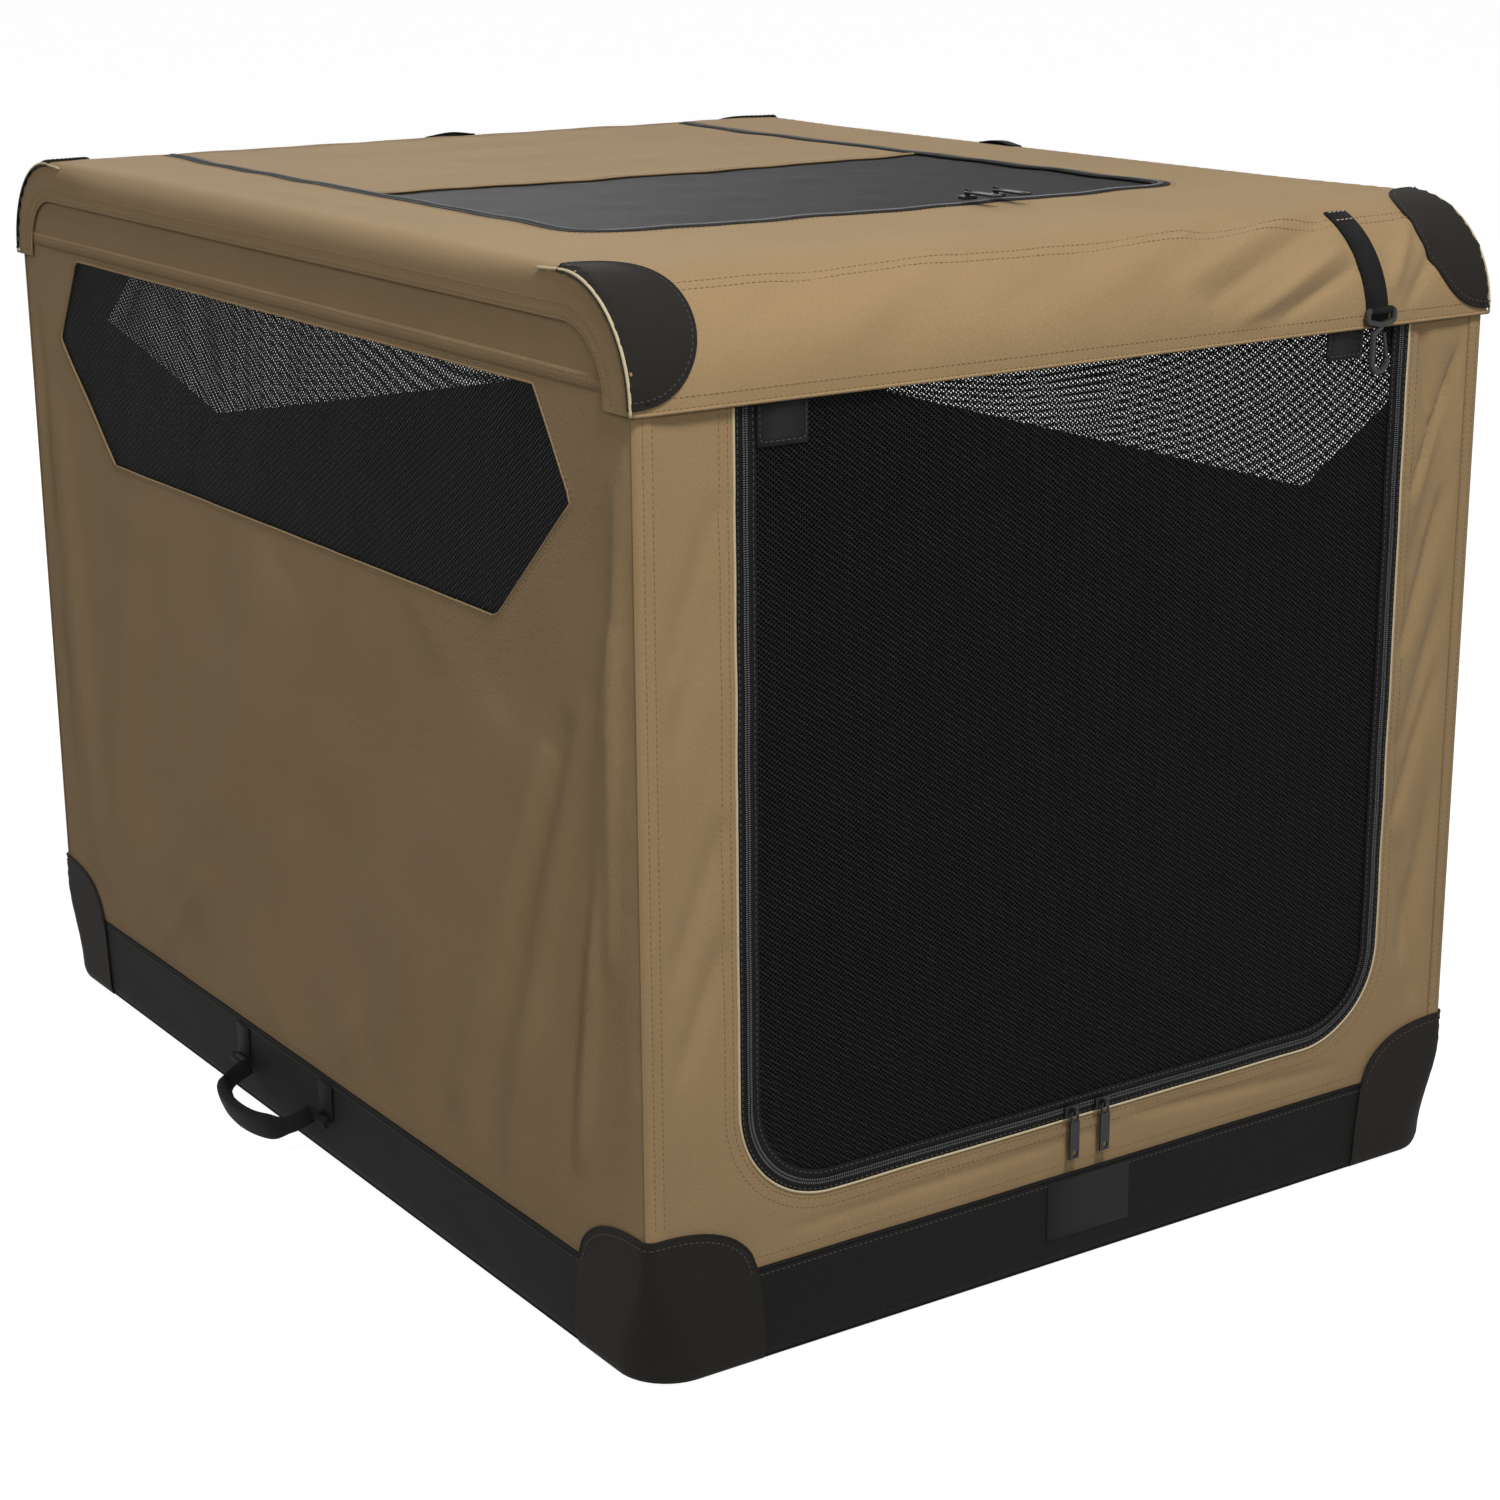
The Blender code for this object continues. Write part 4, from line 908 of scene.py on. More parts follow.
def webbing(name, colour, pitch=0.0016):
    """Ribbed tape: ribs across its length and fine yarns along it."""
    material, tree, shader = new_material(name)
    place, u, v = cloth_uv(tree)
    ribs = waves(tree, u, pitch)
    yarns = waves(tree, v, pitch * 0.8)
    height = maths(tree, "MULTIPLY_ADD", yarns, 0.5, ribs)
    share = maths(tree, "MULTIPLY_ADD", height, 0.25, noise(tree, place, 60.0))
    inputs = {
        "Base Color": tones(tree, share, colour, 0.6, 1.5),
        "Normal": bump(tree, height, 0.6, 0.0004),
        "Roughness": 0.7,
        "Specular IOR Level": 0.10,
    }
    feed(tree, shader, inputs)
    return material


def solid(name, colour, roughness, metallic=0.0):
    """Plastic, enamel, steel or thread, with a fine grain and uneven gloss."""
    material, tree, shader = new_material(name)
    place = add(tree, "ShaderNodeTexCoord").outputs["Object"]
    fine = noise(tree, place, 300.0, 3.0)
    inputs = {
        "Base Color": tones(tree, fine, colour),
        "Normal": bump(tree, fine, 0.3, 0.0001),
        "Roughness": maths(tree, "MULTIPLY_ADD", fine, 0.25, roughness - 0.12),
        "Metallic": metallic,
    }
    feed(tree, shader, inputs)
    return material


# The nets' second colours, here and in LOOKS, are painted highlights on their threads.
NET_BLACK = (0.006, 0.006, 0.006)
NET_HIGHLIGHT = (0.085, 0.085, 0.080)
LOOKS = {
    "tan": twill("tan_twill", (0.36, 0.245, 0.125), 0.16, 0.85, sheen=0.08),
    # Painted shade: the inner faces of the tan cloth are dark grey to stand in for the shade
    # inside the crate.
    "inside_shade": twill("painted_inside_shade", (0.030, 0.028, 0.026), 0.10, 0.9),
    "black": twill("black_twill", (0.0105, 0.0100, 0.0094), 0.20, 0.75, 0.0021),
    "cap": twill("cap_twill", (0.0185, 0.0165, 0.0140), 0.22, 0.75, 0.0021),
    "net": net("window_net", NET_BLACK, NET_HIGHLIGHT),
    "far_net": net("far_net", NET_BLACK, NET_HIGHLIGHT, openness=0.0, turn=0.5),
    "door_net": net("door_net", (0.005, 0.005, 0.005), (0.045, 0.045, 0.045)),
    "top_net": net("roof_net", (0.008, 0.008, 0.008), (0.060, 0.060, 0.055), openness=0.60),
    "webbing": webbing("black_webbing", (0.009, 0.009, 0.009)),
    "tape": webbing("zip_tape", (0.0075, 0.0075, 0.0075), 0.0012),
    "label": twill("bare_patch", (0.0105, 0.0100, 0.0098), 0.1, 0.6, 0.0010, 0.15),
    # Painted shade: the tan thread is darker than the cloth to stand in for the shade in the
    # sunken stitch holes.
    "shaded_tan_thread": solid("shaded_tan_thread", (0.22, 0.145, 0.068), 0.85),
    "light_thread": solid("light_thread", (0.56, 0.46, 0.29), 0.8),
    "black_thread": solid("black_thread", (0.035, 0.033, 0.031), 0.7),
    "coil": solid("zip_coil", (0.085, 0.085, 0.085), 0.45),
    "plastic": solid("black_plastic_look", (0.0055, 0.0055, 0.0060), 0.56),
    "enamel": solid("black_enamel", (0.020, 0.020, 0.020), 0.42, 0.6),
    "painted": solid("painted_tube", (0.030, 0.030, 0.033), 0.50, 0.3),
    "plated": solid("plated_hinge", (0.42, 0.42, 0.43), 0.35, 1.0),
}
SLOT_LOOKS = {
    "frame_steel": "painted",
    "hinge_steel": "plated",
    "black_plastic": "plastic",
    "zip_metal": "enamel",
    "black_webbing": "webbing",
}


def dress_frame():
    """Better materials on the rigid pieces that stay."""
    for part in frame["record"]["subparts"]:
        look = SLOT_LOOKS.get(part["material_slot"])
        if look:
            mesh = frame["nodes"][part["node"]].data
            for index in range(len(mesh.materials)):
                mesh.materials[index] = LOOKS[look]


# Pieces on their bodies


def declare(obj, replaced):
    if replaced:
        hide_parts(*replaced)
    return obj


def finish_piece(obj, body, replaced=(), fold=False):
    """Puts a piece on its body and hides the parts it replaces; one that the fold crumples gets
    its own copy of its mesh.
    """
    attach(obj, body)
    if fold:
        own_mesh(obj)
    return declare(obj, replaced)


def bend_piece(obj, replaced=()):
    """A side piece with its placement baked into its mesh, in place of the given parts."""
    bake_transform(obj)
    return declare(obj, replaced)


def put(name, parts, look, body, replaced=(), fold=False):
    """One piece made of strips or stitches."""
    return finish_piece(joined(name, parts, look), body, replaced, fold)


def draw(name, where, line, step, section, look, body, replaced=(), fold=False):
    """One piece that is a strip along a line."""
    part = strip(where, evenly(line, step), section)
    return put(name, [part], look, body, replaced, fold)


def hang(name, where, outline, look, body, replaced=(), fold=False, **cut):
    """One piece cut from cloth or net."""
    return finish_piece(cloth(name, where, outline, look=look, **cut), body, replaced, fold)


def mirrored(points):
    return [(-x, z) for x, z in reversed(points)]


def both_halves(points):
    return list(points) + mirrored(points)


def grown(outline, distance):
    """A convex outline moved outwards, corner by corner."""
    moved = []
    for index, point in enumerate(outline):
        here = Vector(point)
        before = (here - Vector(outline[index - 1])).normalized()
        after = (Vector(outline[(index + 1) % len(outline)]) - here).normalized()
        first = Vector((before.y, -before.x))
        normal = (first + Vector((after.y, -after.x))).normalized()
        moved.append(tuple(here + normal * (distance / normal.dot(first))))
    return moved


def ring(outline):
    return list(outline) + [outline[0]]


def level(reach, at):
    """A straight line to both sides of the middle."""
    return [(-reach, at), (reach, at)]


def sew(name, where, lines, look, body, fold=False, lift=0.0):
    """One piece made of rows of stitches."""
    rows = [stitches(where, line, lift=lift) for line in lines]
    return put(name, rows, look, body, fold=fold)


def piping(where, line, step, radius, lift):
    return strip(where, evenly(line, step), round_section(radius, lift))


def window_net(name, where, hole, look, body, node, fold=False):
    """The net behind a window, which laps under the edge."""
    lap = grown(hole, WINDOW_LAP)
    hang(name, where, lap, look, body, [node], fold, lift=-0.0013, thickness=NET)


def zip_round(kind, where, line, step, bodies, tape, border, coil_lift, replaced, fold=False):
    """A zip's tape, its door's border and both rows of coil, along a line read by its inset."""
    frame_body, door_body = bodies
    name = f"{kind}_zip_tape"
    middle = line(TAPE / 2)
    draw(name + "_cloth", where, middle, step, tape, "tape", frame_body, [name], fold)
    inset, section = border
    edge = line(inset)
    draw(f"{kind}_door_edge", where, edge, step, section, "tape", door_body, replaced, fold)
    for row, body, cross in (("outer", frame_body, -COIL_GAP), ("inner", door_body, COIL_GAP)):
        teeth = stitches(where, line(TAPE), COIL_PITCH, COIL_LENGTH, COIL_R, coil_lift, cross)
        put(f"{kind}_coil_{row}", [teeth], "coil", body, fold=fold)


# Front wall and door


def door_line(inset, top):
    """The U of the front door's zip: down, along the bottom and up."""
    half = DOOR_HALF - inset
    low = DOOR_Z + inset
    radius = DOOR_CORNER_R - inset
    points = [(-half, top), (-half, low), (half, low), (half, top)]
    return rounded(points, [0, radius, radius, 0], steps=16)


def wall_foot(edge):
    """The right half of a wall's lower edge, cut back behind the corner patches."""
    steps = [(0.082, WALL_START), (0.062, 0.088), (0.040, 0.100), (0.0, 0.106)]
    return [(edge - back, z) for back, z in steps]


def end_wall(top):
    """The outline of the front or rear wall."""
    edge = WALL_X - 0.007
    return both_halves(wall_foot(edge) + [(edge, top)])


def front_wall():
    hole = door_line(0.0, HEM_Z + 0.004)
    cut = {"holes": [hole], "spacing": 0.0085, "folds": FRONT_FOLDS}
    hang("front_wall", FRONT, end_wall(HEM_Z + 0.075), "tan", "base", ["front_panel"], True, **cut)
    lines = [door_line(inset, HEM_Z) for inset in (-0.005, -0.012)]
    lines.append(level(END_SEAM, FOOT_SEAM_Z))
    sew("front_wall_stitches", FRONT, lines, "shaded_tan_thread", "base", True)
    line = door_line(-0.0006, HEM_Z)
    section = round_section(0.0011, 0.0002)
    draw("door_opening_edge", FRONT, line, 0.006, section, "light_thread", "base", fold=True)


def front_zip():
    def line(inset):
        return door_line(inset, DOOR_TOP_Z)

    tape = flat_section(TAPE, -0.0004, 0.0006)
    border = (TAPE + BORDER / 2, flat_section(BORDER, -0.0004, 0.0007))
    bodies = ("base", "front_door")
    replaced = ["front_door_border"]
    zip_round("front", FRONT, line, 0.005, bodies, tape, border, 0.0011, replaced, True)
    sew("front_tape_stitches", FRONT, [line(0.0022)], "black_thread", "base", True, 0.0006)
    edge = line(TAPE + BORDER - 0.0025)
    sew("door_edge_stitches", FRONT, [edge], "black_thread", "front_door", True, 0.0007)


def front_door():
    outline = door_line(TAPE + BORDER - 0.002, DOOR_TOP_Z)
    cut = {"lift": -0.0006, "thickness": NET}
    replaced = ["front_door_mesh"]
    hang("front_door_net", FRONT, outline, "door_net", "front_door", replaced, True, **cut)
    tabs = []
    lines = []
    for left, right, low, high in DOOR_TABS:
        path = [((left + right) / 2, z) for z in np.linspace(low, high, 6)]
        tabs.append(strip(FRONT, path, flat_section(right - left, -0.0003, 0.0014)))
        left, right, low, high = left + 0.002, right - 0.002, low + 0.003, high - 0.002
        lines.append([(left, high), (left, low), (right, low), (right, high)])
    put("door_net_tabs", tabs, "label", "front_door", fold=True)
    sew("door_tab_stitches", FRONT, lines, "black_thread", "front_door", True, 0.0014)


def copies_that_fold():
    """Copies of the front sliders and pulls in the enamel look, each on a body of its own name, in
    place of the imported ones.
    """
    for kind in ("slider", "pull"):
        for hand in ("left", "right"):
            node = f"front_{kind}_{hand}"
            obj = linked(node + "_metal", frame["nodes"][node].data.copy())
            obj.data.materials.clear()
            obj.data.materials.append(LOOKS["enamel"])
            obj.matrix_world = frame["nodes"][node].matrix_world
            finish_piece(obj, node, [node], fold=True)


# Side and rear walls


def side_wall(side):
    hand = HANDS[side]
    where = SIDES[side]
    upper = f"upper_{hand}"
    edge = STRIP_START + 0.0010
    top = BEND_Z + 0.062
    points = [(edge, STRIP_FOOT_Z), (edge, BEND_Z + 0.012), (edge - 0.04, top), (0, top)]
    half = wall_foot(edge - 0.004) + rounded(points, [0, 0.02, 0.06, 0])[:-1]
    hole = both_halves(SIDE_WINDOW)
    wall = cloth(f"side_wall_{hand}", where, both_halves(half), [hole], folds=SIDE_FOLDS)
    bend_piece(wall, [f"lower_skin_{hand}", f"crease_{hand}", f"upper_skin_{hand}"])
    look = "net" if side < 0 else "far_net"
    window_net(f"side_net_{hand}", where, hole, look, upper, f"side_window_{hand}")
    seam_z = WINDOW_TOP_Z + 0.012
    rows = [stitches(where, ring(grown(hole, 0.004)))]
    for z in (seam_z - 0.003, seam_z + 0.003):
        rows.append(stitches(where, level(TOP_SEAM - 0.005, z), lift=0.0006))
    put(f"side_seam_stitches_{hand}", rows, "shaded_tan_thread", upper)
    section = flat_section(0.011, -0.0004, 0.0007)
    draw(f"side_seam_{hand}", where, level(TOP_SEAM, seam_z), 0.008, section, "tan", upper)
    path = evenly(ring(grown(hole, 0.0006)), 0.01)[:-1]
    parts = [strip(where, path, round_section(0.0009, 0.0), True)]
    put(f"side_window_fold_{hand}", parts, "tan", upper)
    rows = [stitches(where, level(SIDE_SEAM, FOOT_SEAM_Z))]
    bend_piece(joined(f"side_wall_stitches_{hand}", rows, "shaded_tan_thread"))


def corner_strips():
    """The upright strips that turn each corner and cover the walls' edges."""
    top = BEND_Z + 0.010
    rows = []
    for side, end in CORNERS:
        where = surface(side_base(side), still, side)
        low = end * STRIP_START
        high = end * STRIP_END
        outline = [(low, STRIP_FOOT_Z), (high, STRIP_FOOT_Z), (high, top), (low, top)]
        turns = [end * (STRIP_START + EDGE_R * math.pi / 8 * step) for step in (1, 2, 3)]
        lines = [[(u, STRIP_FOOT_Z + 0.0005), (u, top - 0.0005)] for u in turns]
        name = f"corner_strip_{corner_name(side, end)}"
        hang(name, where, outline, "tan", "base", fold=True, lines=lines, spacing=0.009)
        for away in (0.0012, 0.0085):
            rows.append(stitches(where, [(end * (STRIP_END - away), z) for z in STRIP_SEAM]))
    put("corner_strip_stitches", rows, "shaded_tan_thread", "base", fold=True)


def rear_wall():
    outline = end_wall(HEM_Z + 0.014)
    hole = both_halves(REAR_WINDOW)
    cut = {"holes": [hole], "folds": REAR_FOLDS}
    hang("rear_wall", REAR, outline, "tan", "base", ["rear_panel"], True, **cut)
    window_net("rear_net", REAR, hole, "far_net", "base", "rear_window", True)
    lines = [ring(grown(hole, away)) for away in (0.005, 0.011)]
    lines.append(level(END_SEAM, FOOT_SEAM_Z))
    sew("rear_stitches", REAR, lines, "shaded_tan_thread", "base", True)


# Top shell, caps and top door


def along_top(y):
    """The distance along the wrap of a place on the flat top."""
    return TOP_START + BEND_Y + y


TOP_FRONT = along_top(TOP_DOOR_LOW[1])
TOP_REAR = along_top(TOP_DOOR_HIGH[1])
TOP_SPLIT = along_top(SPLIT_Y)
TOP_HALF = TOP_DOOR_HIGH[0]


def top_line(inset, end=TOP_REAR):
    """The U of the top door's zip, open to the rear."""
    half = TOP_HALF - inset
    front = TOP_FRONT + inset
    radius = TOP_CORNER_R - inset
    points = [(-half, end), (-half, front), (half, front), (half, end)]
    return rounded(points, [0, radius, radius, 0])


def shell_side(side, away, start=0.0):
    """A line on the side flange, that far above its lower edge."""
    at = np.linspace(start, WRAP_LENGTH - start, 160)
    return [(side * (shell_edge(s) - away), s) for s in at]


def from_both_ends(distances):
    return [*distances, *(WRAP_LENGTH - distance for distance in reversed(distances))]


def top_shell():
    outline = both_halves(shell_side(1, 0.0))
    cut = {"holes": [top_line(0.0)], "spacing": 0.009, "folds": SHELL_FOLDS}
    hang("top_shell_cloth", SHELL, outline, "tan", "top", ["top_shell"], **cut)
    lines = [shell_side(side, away, 0.004) for side in HANDS for away in (0.0035, 0.0110)]
    for reach, levels in SHELL_SEAMS:
        lines += [level(reach, s) for s in from_both_ends(levels)]
    lines += [top_line(-0.004), level(TOP_HALF, TOP_REAR + 0.005)]
    sew("shell_stitches", SHELL, lines, "shaded_tan_thread", "top")
    ends = [level(HALF_W - 0.002, s) for s in from_both_ends([0.0005])]
    hems = [piping(SHELL, line, 0.008, 0.0014, -0.0002) for line in ends]
    put("shell_hem_rolls", hems, "tan", "top")
    # The edge piping's light thread colour is partly its own colour and partly a painted highlight
    # along the rolled edge.
    edges = []
    bend_end = TOP_START + 0.03
    for side in HANDS:
        for first in (0.0, WRAP_LENGTH - bend_end):
            at = np.linspace(first, first + bend_end, 60)
            path = [(side * (HALF_W - 0.0008 + 0.3 * roll_radius(s)), s) for s in at]
            edges.append(strip(SHELL, path, round_section(0.0010, 0.0006)))
    put("shell_edge_piping", edges, "light_thread", "top")


def cap_outline(side, end, inset):
    """Half an oval on the wrap, cut straight along the shell's side edge."""
    middle = TOP_START / 2 + 0.004
    middle = middle if end < 0 else WRAP_LENGTH - middle
    points = []
    for step in range(33):
        angle = math.pi * step / 32 - math.pi / 2
        swell = math.copysign(abs(math.cos(angle)) ** 0.8, math.cos(angle))
        u = HALF_W + 0.0015 - inset * 0.4 - (CAP_WIDTH - inset) * swell
        points.append((side * u, middle + (CAP_REACH - 0.001 - inset) * math.sin(angle)))
    return points


def top_caps():
    lines = []
    edges = []
    cut = {"lift": 0.0017, "thickness": 0.0012, "spacing": 0.006}
    for side, end in CORNERS:
        place = corner_name(side, end)
        outline = cap_outline(side, end, 0.0)
        hang(f"cap_{place}", SHELL, outline, "cap", "top", [f"top_cap_{place}"], **cut)
        lines.append(cap_outline(side, end, 0.005))
        edges.append(piping(SHELL, cap_outline(side, end, 0.0008), 0.004, 0.0010, 0.0012))
    sew("cap_stitches", SHELL, lines, "black_thread", "top", lift=0.0018)
    put("cap_edges", edges, "cap", "top")


def top_door():
    inset = TAPE + 0.001
    half = TOP_HALF - inset
    rear = TOP_REAR - 0.0006
    outline = [(-half, TOP_SPLIT), (half, TOP_SPLIT), (half, rear), (-half, rear)]
    hang("top_door_panel", SHELL, outline, "tan", "top_door", ["top_door_cloth"], lift=-0.0002)
    outline = top_line(inset - 0.002, TOP_SPLIT + 0.012)
    cut = {"lift": -0.0014, "thickness": NET}
    hang("top_door_net", SHELL, outline, "top_net", "top_door", ["top_door_mesh"], **cut)
    tape = flat_section(TAPE, -0.0004, 0.0008)
    border = (TAPE + 0.0035, flat_section(0.006, -0.0008, 0.0008))
    zip_round("top", SHELL, top_line, 0.006, ("top", "top_door"), tape, border, 0.0012, [])
    section = flat_section(0.005, -0.0004, 0.0007)
    draw("top_door_seam", SHELL, level(half, TOP_SPLIT), 0.01, section, "tan", "top_door")
    seam = level(half, TOP_SPLIT + 0.008)
    sew("top_door_stitches", SHELL, [seam], "shaded_tan_thread", "top_door")


# Base


def base_band():
    at = np.linspace(0, LOOP_LENGTH, 420)
    steps = [-BAND_HALF + 2 * BAND_HALF * step / 9 for step in range(10)]
    section = [(across, 0.0) for across in steps] + [(-across, -0.0013) for across in steps]
    parts = [strip(BAND, [(u, BAND_MIDDLE_Z) for u in at], section)]
    put("base_band", parts, "black", "base", ["base_tray"])
    path = [(u, BAND_Z + 0.0012) for u in at]
    put("band_binding", [strip(BAND, path, round_section(0.0011, 0.0))], "black", "base")
    seam = [(u, BAND_Z - 0.004) for u in at]
    sew("band_stitches", BAND, [seam], "black_thread", "base")
    hang("base_floor", FLOOR_SURFACE, base_loop(-0.0022), "black", "base", spacing=0.03)
    first, last = (LOOP_LENGTH / 2 + x for x in LABEL_X)
    line = [((first + last) / 2, z) for z in LABEL_Z]
    section = flat_section(last - first, 0.0002, 0.0009)
    draw("bare_front_patch", BAND, line, 0.006, section, "label", "base")


def patch_outline(inset):
    arm = PATCH_ARM - inset
    points = [(-arm, 0.0015), (arm, 0.0015)]
    for step in range(41):
        share = 1 - 2 * step / 40
        dome = math.sqrt(max(0.0, 1 - abs(share) ** DOME_POWER))
        points.append((arm * share, BAND_Z + (PATCH_TOP - inset - BAND_Z) * dome))
    return points


def flatten_patch(obj):
    """Gives a corner patch piece its own copy of its mesh."""
    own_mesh(obj)


def base_patches():
    rows = []
    edges = []
    cut = {"lift": 0.0006, "thickness": 0.0011, "spacing": 0.006}
    for side, end in CORNERS:
        where = surface(patch_base(side, end), patch_relief, side * end)
        place = corner_name(side, end)
        name = f"corner_patch_{place}"
        node = f"base_patch_{place}"
        flatten_patch(hang(name, where, patch_outline(0.0), "cap", "base", [node], **cut))
        rows.append(stitches(where, patch_outline(0.006)[2:], lift=0.0007))
        edges.append(piping(where, patch_outline(0.0006)[2:], 0.004, 0.0009, 0.0003))
    flatten_patch(put("patch_stitches", rows, "black_thread", "base"))
    flatten_patch(put("patch_edges", edges, "cap", "base"))


# Webbing: strap, loops and handle


def in_space(line, across, section, marks):
    """A section along points in space: pairs of distances, which may vary on the way."""
    line = np.array(line, float)
    across = np.array(across, float)
    up = np.cross(directions(line), across)
    up /= np.linalg.norm(up, axis=1)[:, None]
    rows = [line + across * np.c_[a] + up * np.c_[b] for a, b in section]
    return swept(np.stack(rows, 1), lengths_along(line), np.array(marks))


def webbing_strip(line, across, width, thickness):
    section = flat_section(width, 0.0, thickness)
    return in_space(line, across, section, [a for a, _ in section])


def door_strap():
    """The strap down the header's bend, turned round the hook's eye."""
    low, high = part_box("door_strap")
    x = middle("door_strap", 0)
    path = arc(-BEND_Y, BEND_Z, BEND_R + 0.0006, 180 - STRAP_START, 180, 24)
    path += arc(-HALF_L - EYE_PROUD, EYE_Z, EYE_R, -15, -300, 19)
    line = evenly([(x, y, z) for y, z in path], 0.003)
    parts = [webbing_strip(line, (1, 0, 0), high[0] - low[0], 0.0015)]
    put("door_strap_webbing", parts, "webbing", "strap", ["door_strap"])
    first = TOP_START - BEND_R * math.radians(90 - STRAP_START)
    lines = [[(x - 0.009, s), (x + 0.009, s)] for s in (first - 0.002, first - 0.012)]
    sew("strap_stitches", SHELL, lines, "light_thread", "strap", lift=0.0028)


def edge_loops():
    """A flat webbing loop on the rear bend and one on the right edge."""
    for node in ("rear_loop", "right_loop"):
        low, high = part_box(node)
        if node == "rear_loop":
            s = WRAP_LENGTH - TOP_START + BEND_R * math.radians(LOOP_ANGLE)
            path = [(low[0], s), (high[0], s)]
        else:
            u = HALF_W - LOOP_INSET
            path = [(u, along_top(low[1])), (u, along_top(high[1]))]
        path = evenly(path, 0.002)
        share = np.linspace(-1, 1, len(path))
        lifts = LOOP_RISE * (0.5 + 0.5 * np.cos(math.pi * share)) ** 0.7
        parts = [strip(SHELL, path, flat_section(LOOP_WIDTH, 0.0003, 0.0017), lifts=lifts)]
        put(node + "_webbing", parts, "webbing", "top", [node])


def carry_handle():
    """A flat padded grip on a webbing strap, with a tab at each end."""
    nodes = ["handle_anchor_front", "handle_anchor_rear"]
    first_y, last_y = (middle(node, 1) for node in nodes)
    low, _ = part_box(nodes[0])
    pin_x = low[0] + HANDLE_PIN
    pin_z = low[2] + HANDLE_PIN
    out = pin_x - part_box("handle_grip")[0][0] - GRIP_HALF
    half = (last_y - first_y) / 2 * GRIP_SPAN
    shares = np.linspace(0, 1, 49)
    line = []
    for share in shares:
        bow = math.sin(math.pi * share) ** 0.6 if 0 < share < 1 else 0.0
        y = (first_y + last_y) / 2 - half * math.cos(math.pi * share)
        line.append((pin_x - out * bow, y, pin_z - GRIP_SAG * bow))
    line = [(pin_x, first_y, pin_z), *line, (pin_x, last_y, pin_z)]
    pad = GRIP_PAD * smooth(np.sin(math.pi * np.concatenate([[0], shares, [1]])), 0.35, 0.75)
    section = []
    for corner in round_section(1.0, 0.0, 16):
        a, b = (np.sign(part) * abs(part) ** 0.7 for part in corner)
        section.append((a * (GRIP_WEB[0] + pad), b * (GRIP_WEB[1] + pad)))
    marks = [0.03 * index / 16 for index in range(16)]
    parts = [in_space(line, GRIP_ACROSS, section, marks)]
    grip = put("carry_grip", parts, "webbing", "handle", ["handle_grip"])
    tabs = []
    for y in (first_y, last_y):
        path = [(pin_x + 0.0037, z) for z in np.linspace(TAB_FOOT_Z, pin_z + 0.004, 8)]
        path += arc(pin_x, pin_z, TAB_R, 20, 270, 12)
        line = evenly([(x, y, z) for x, z in path], 0.002)
        tabs.append(webbing_strip(line, (0, 1, 0), 0.024, 0.0012))
    put("handle_tabs", tabs, "webbing", "base", nodes)


# Stage


# The camera was fitted to points along the photo's edges
CAMERA_PLACE = (-1.408, -2.175, 1.044)
CAMERA_AZIMUTH = math.radians(-33.93)
CAMERA_ELEVATION = math.radians(16.38)
CAMERA_ROLL = math.radians(-0.39)
LENS = 73.0
FLOOR = 30.0
FLOOR_Z = -0.0015
FLOOR_GLOW = 0.92
SKY_LIGHT = 0.20
# Area lamps: place, aim, size and power
LAMPS = {
    "key": ((-0.6, -2.4, 3.5), (0.1, -0.3, 0.4), 0.8, 92.0),
    "front": ((-1.6, -4.0, 1.9), (0.0, -0.2, 0.35), 0.6, 34.0),
    "top": ((0.4, 0.8, 3.6), (0.0, 0.0, 0.6), 1.6, 6.0),
    "rear": ((1.5, 4.0, 2.2), (0.0, 0.2, 0.4), 1.6, 60.0),
    "left": ((-3.4, 0.2, 2.6), (-0.3, 0.0, 0.4), 1.2, 14.0),
}


def add_camera():
    data = bpy.data.cameras.new("camera")
    data.lens = LENS
    data.sensor_width = 36.0
    camera = linked("camera", data)
    turn = Matrix.Rotation(CAMERA_AZIMUTH, 4, "Z")
    turn @= Matrix.Rotation(math.pi / 2 - CAMERA_ELEVATION, 4, "X")
    turn @= Matrix.Rotation(CAMERA_ROLL, 4, "Z")
    camera.matrix_world = Matrix.Translation(CAMERA_PLACE) @ turn
    bpy.context.scene.camera = camera


def grey(level):
    return (level, level, level, 1)


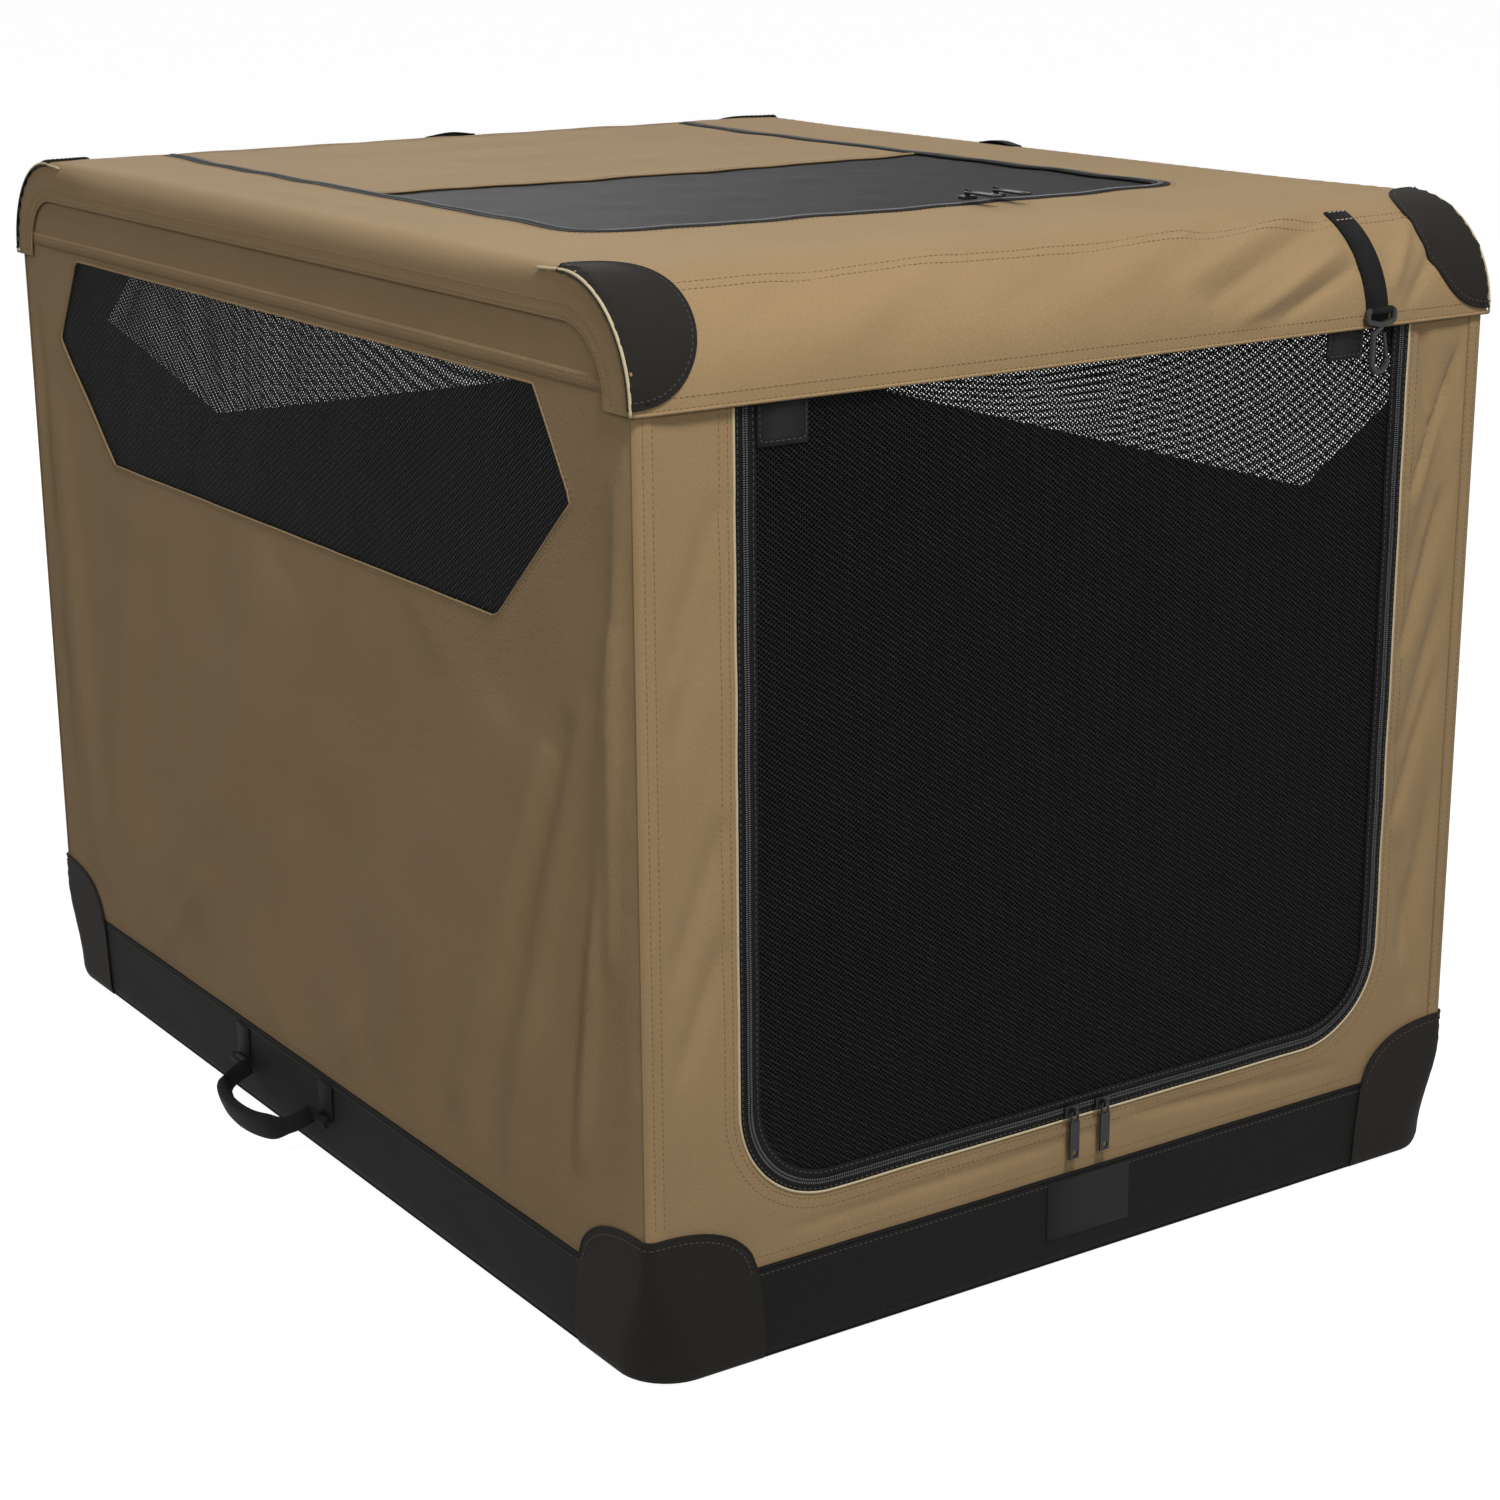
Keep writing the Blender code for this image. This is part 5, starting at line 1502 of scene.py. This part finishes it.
def white_to_the_eye(tree, lit, shown):
    """Mixes a closure that lights the crate with the white one that the camera sees."""
    path = add(tree, "ShaderNodeLightPath")
    seen = maths(tree, "MAXIMUM", path.outputs["Is Camera Ray"], path.outputs["Is Glossy Ray"])
    seen = maths(tree, "MAXIMUM", seen, path.outputs["Is Transmission Ray"])
    return add(tree, "ShaderNodeMixShader", {0: seen, 1: lit, 2: shown}).outputs[0]


def add_stage():
    world = bpy.data.worlds.new("studio")
    bpy.context.scene.world = world
    world.use_nodes = True
    tree = world.node_tree
    lit = add(tree, "ShaderNodeBackground", {0: (0.95, 0.97, 1.0, 1), 1: SKY_LIGHT}).outputs[0]
    shown = add(tree, "ShaderNodeBackground", {0: grey(1), 1: 1.0}).outputs[0]
    output = tree.nodes["World Output"]
    tree.links.new(white_to_the_eye(tree, lit, shown), output.inputs["Surface"])
    material, tree, shader = new_material("floor")
    tree.nodes.remove(shader)
    corners = [(-FLOOR, -FLOOR), (FLOOR, -FLOOR), (FLOOR, FLOOR), (-FLOOR, FLOOR)]
    points = [(x, y, FLOOR_Z) for x, y in corners]
    floor = new_mesh("floor", points, [(0, 1, 2, 3)], corners, material)
    dull = add(tree, "ShaderNodeBsdfDiffuse", {0: grey(0.25)}).outputs[0]
    pale = add(tree, "ShaderNodeBsdfDiffuse", {0: grey(0.35)}).outputs[0]
    glow = add(tree, "ShaderNodeEmission", {0: grey(1), 1: FLOOR_GLOW}).outputs[0]
    both = add(tree, "ShaderNodeAddShader", {0: pale, 1: glow}).outputs[0]
    output = tree.nodes["Material Output"]
    tree.links.new(white_to_the_eye(tree, dull, both), output.inputs["Surface"])
    for name, row in LAMPS.items():
        add_lamp(name, *row)


def add_lamp(name, place, aim, size, power):
    data = bpy.data.lights.new(name, "AREA")
    data.size = size
    data.energy = power
    lamp = linked(name, data)
    lamp.location = place
    lamp.rotation_mode = "QUATERNION"
    lamp.rotation_quaternion = (Vector(aim) - Vector(place)).to_track_quat("-Z", "Y")


add_camera()
add_stage()
dress_frame()
front_wall()
front_zip()
front_door()
copies_that_fold()
for wall_side in HANDS:
    side_wall(wall_side)
corner_strips()
rear_wall()
top_shell()
top_caps()
top_door()
base_band()
base_patches()
door_strap()
edge_loops()
carry_handle()

bpy.context.scene.view_settings.view_transform = "Standard"
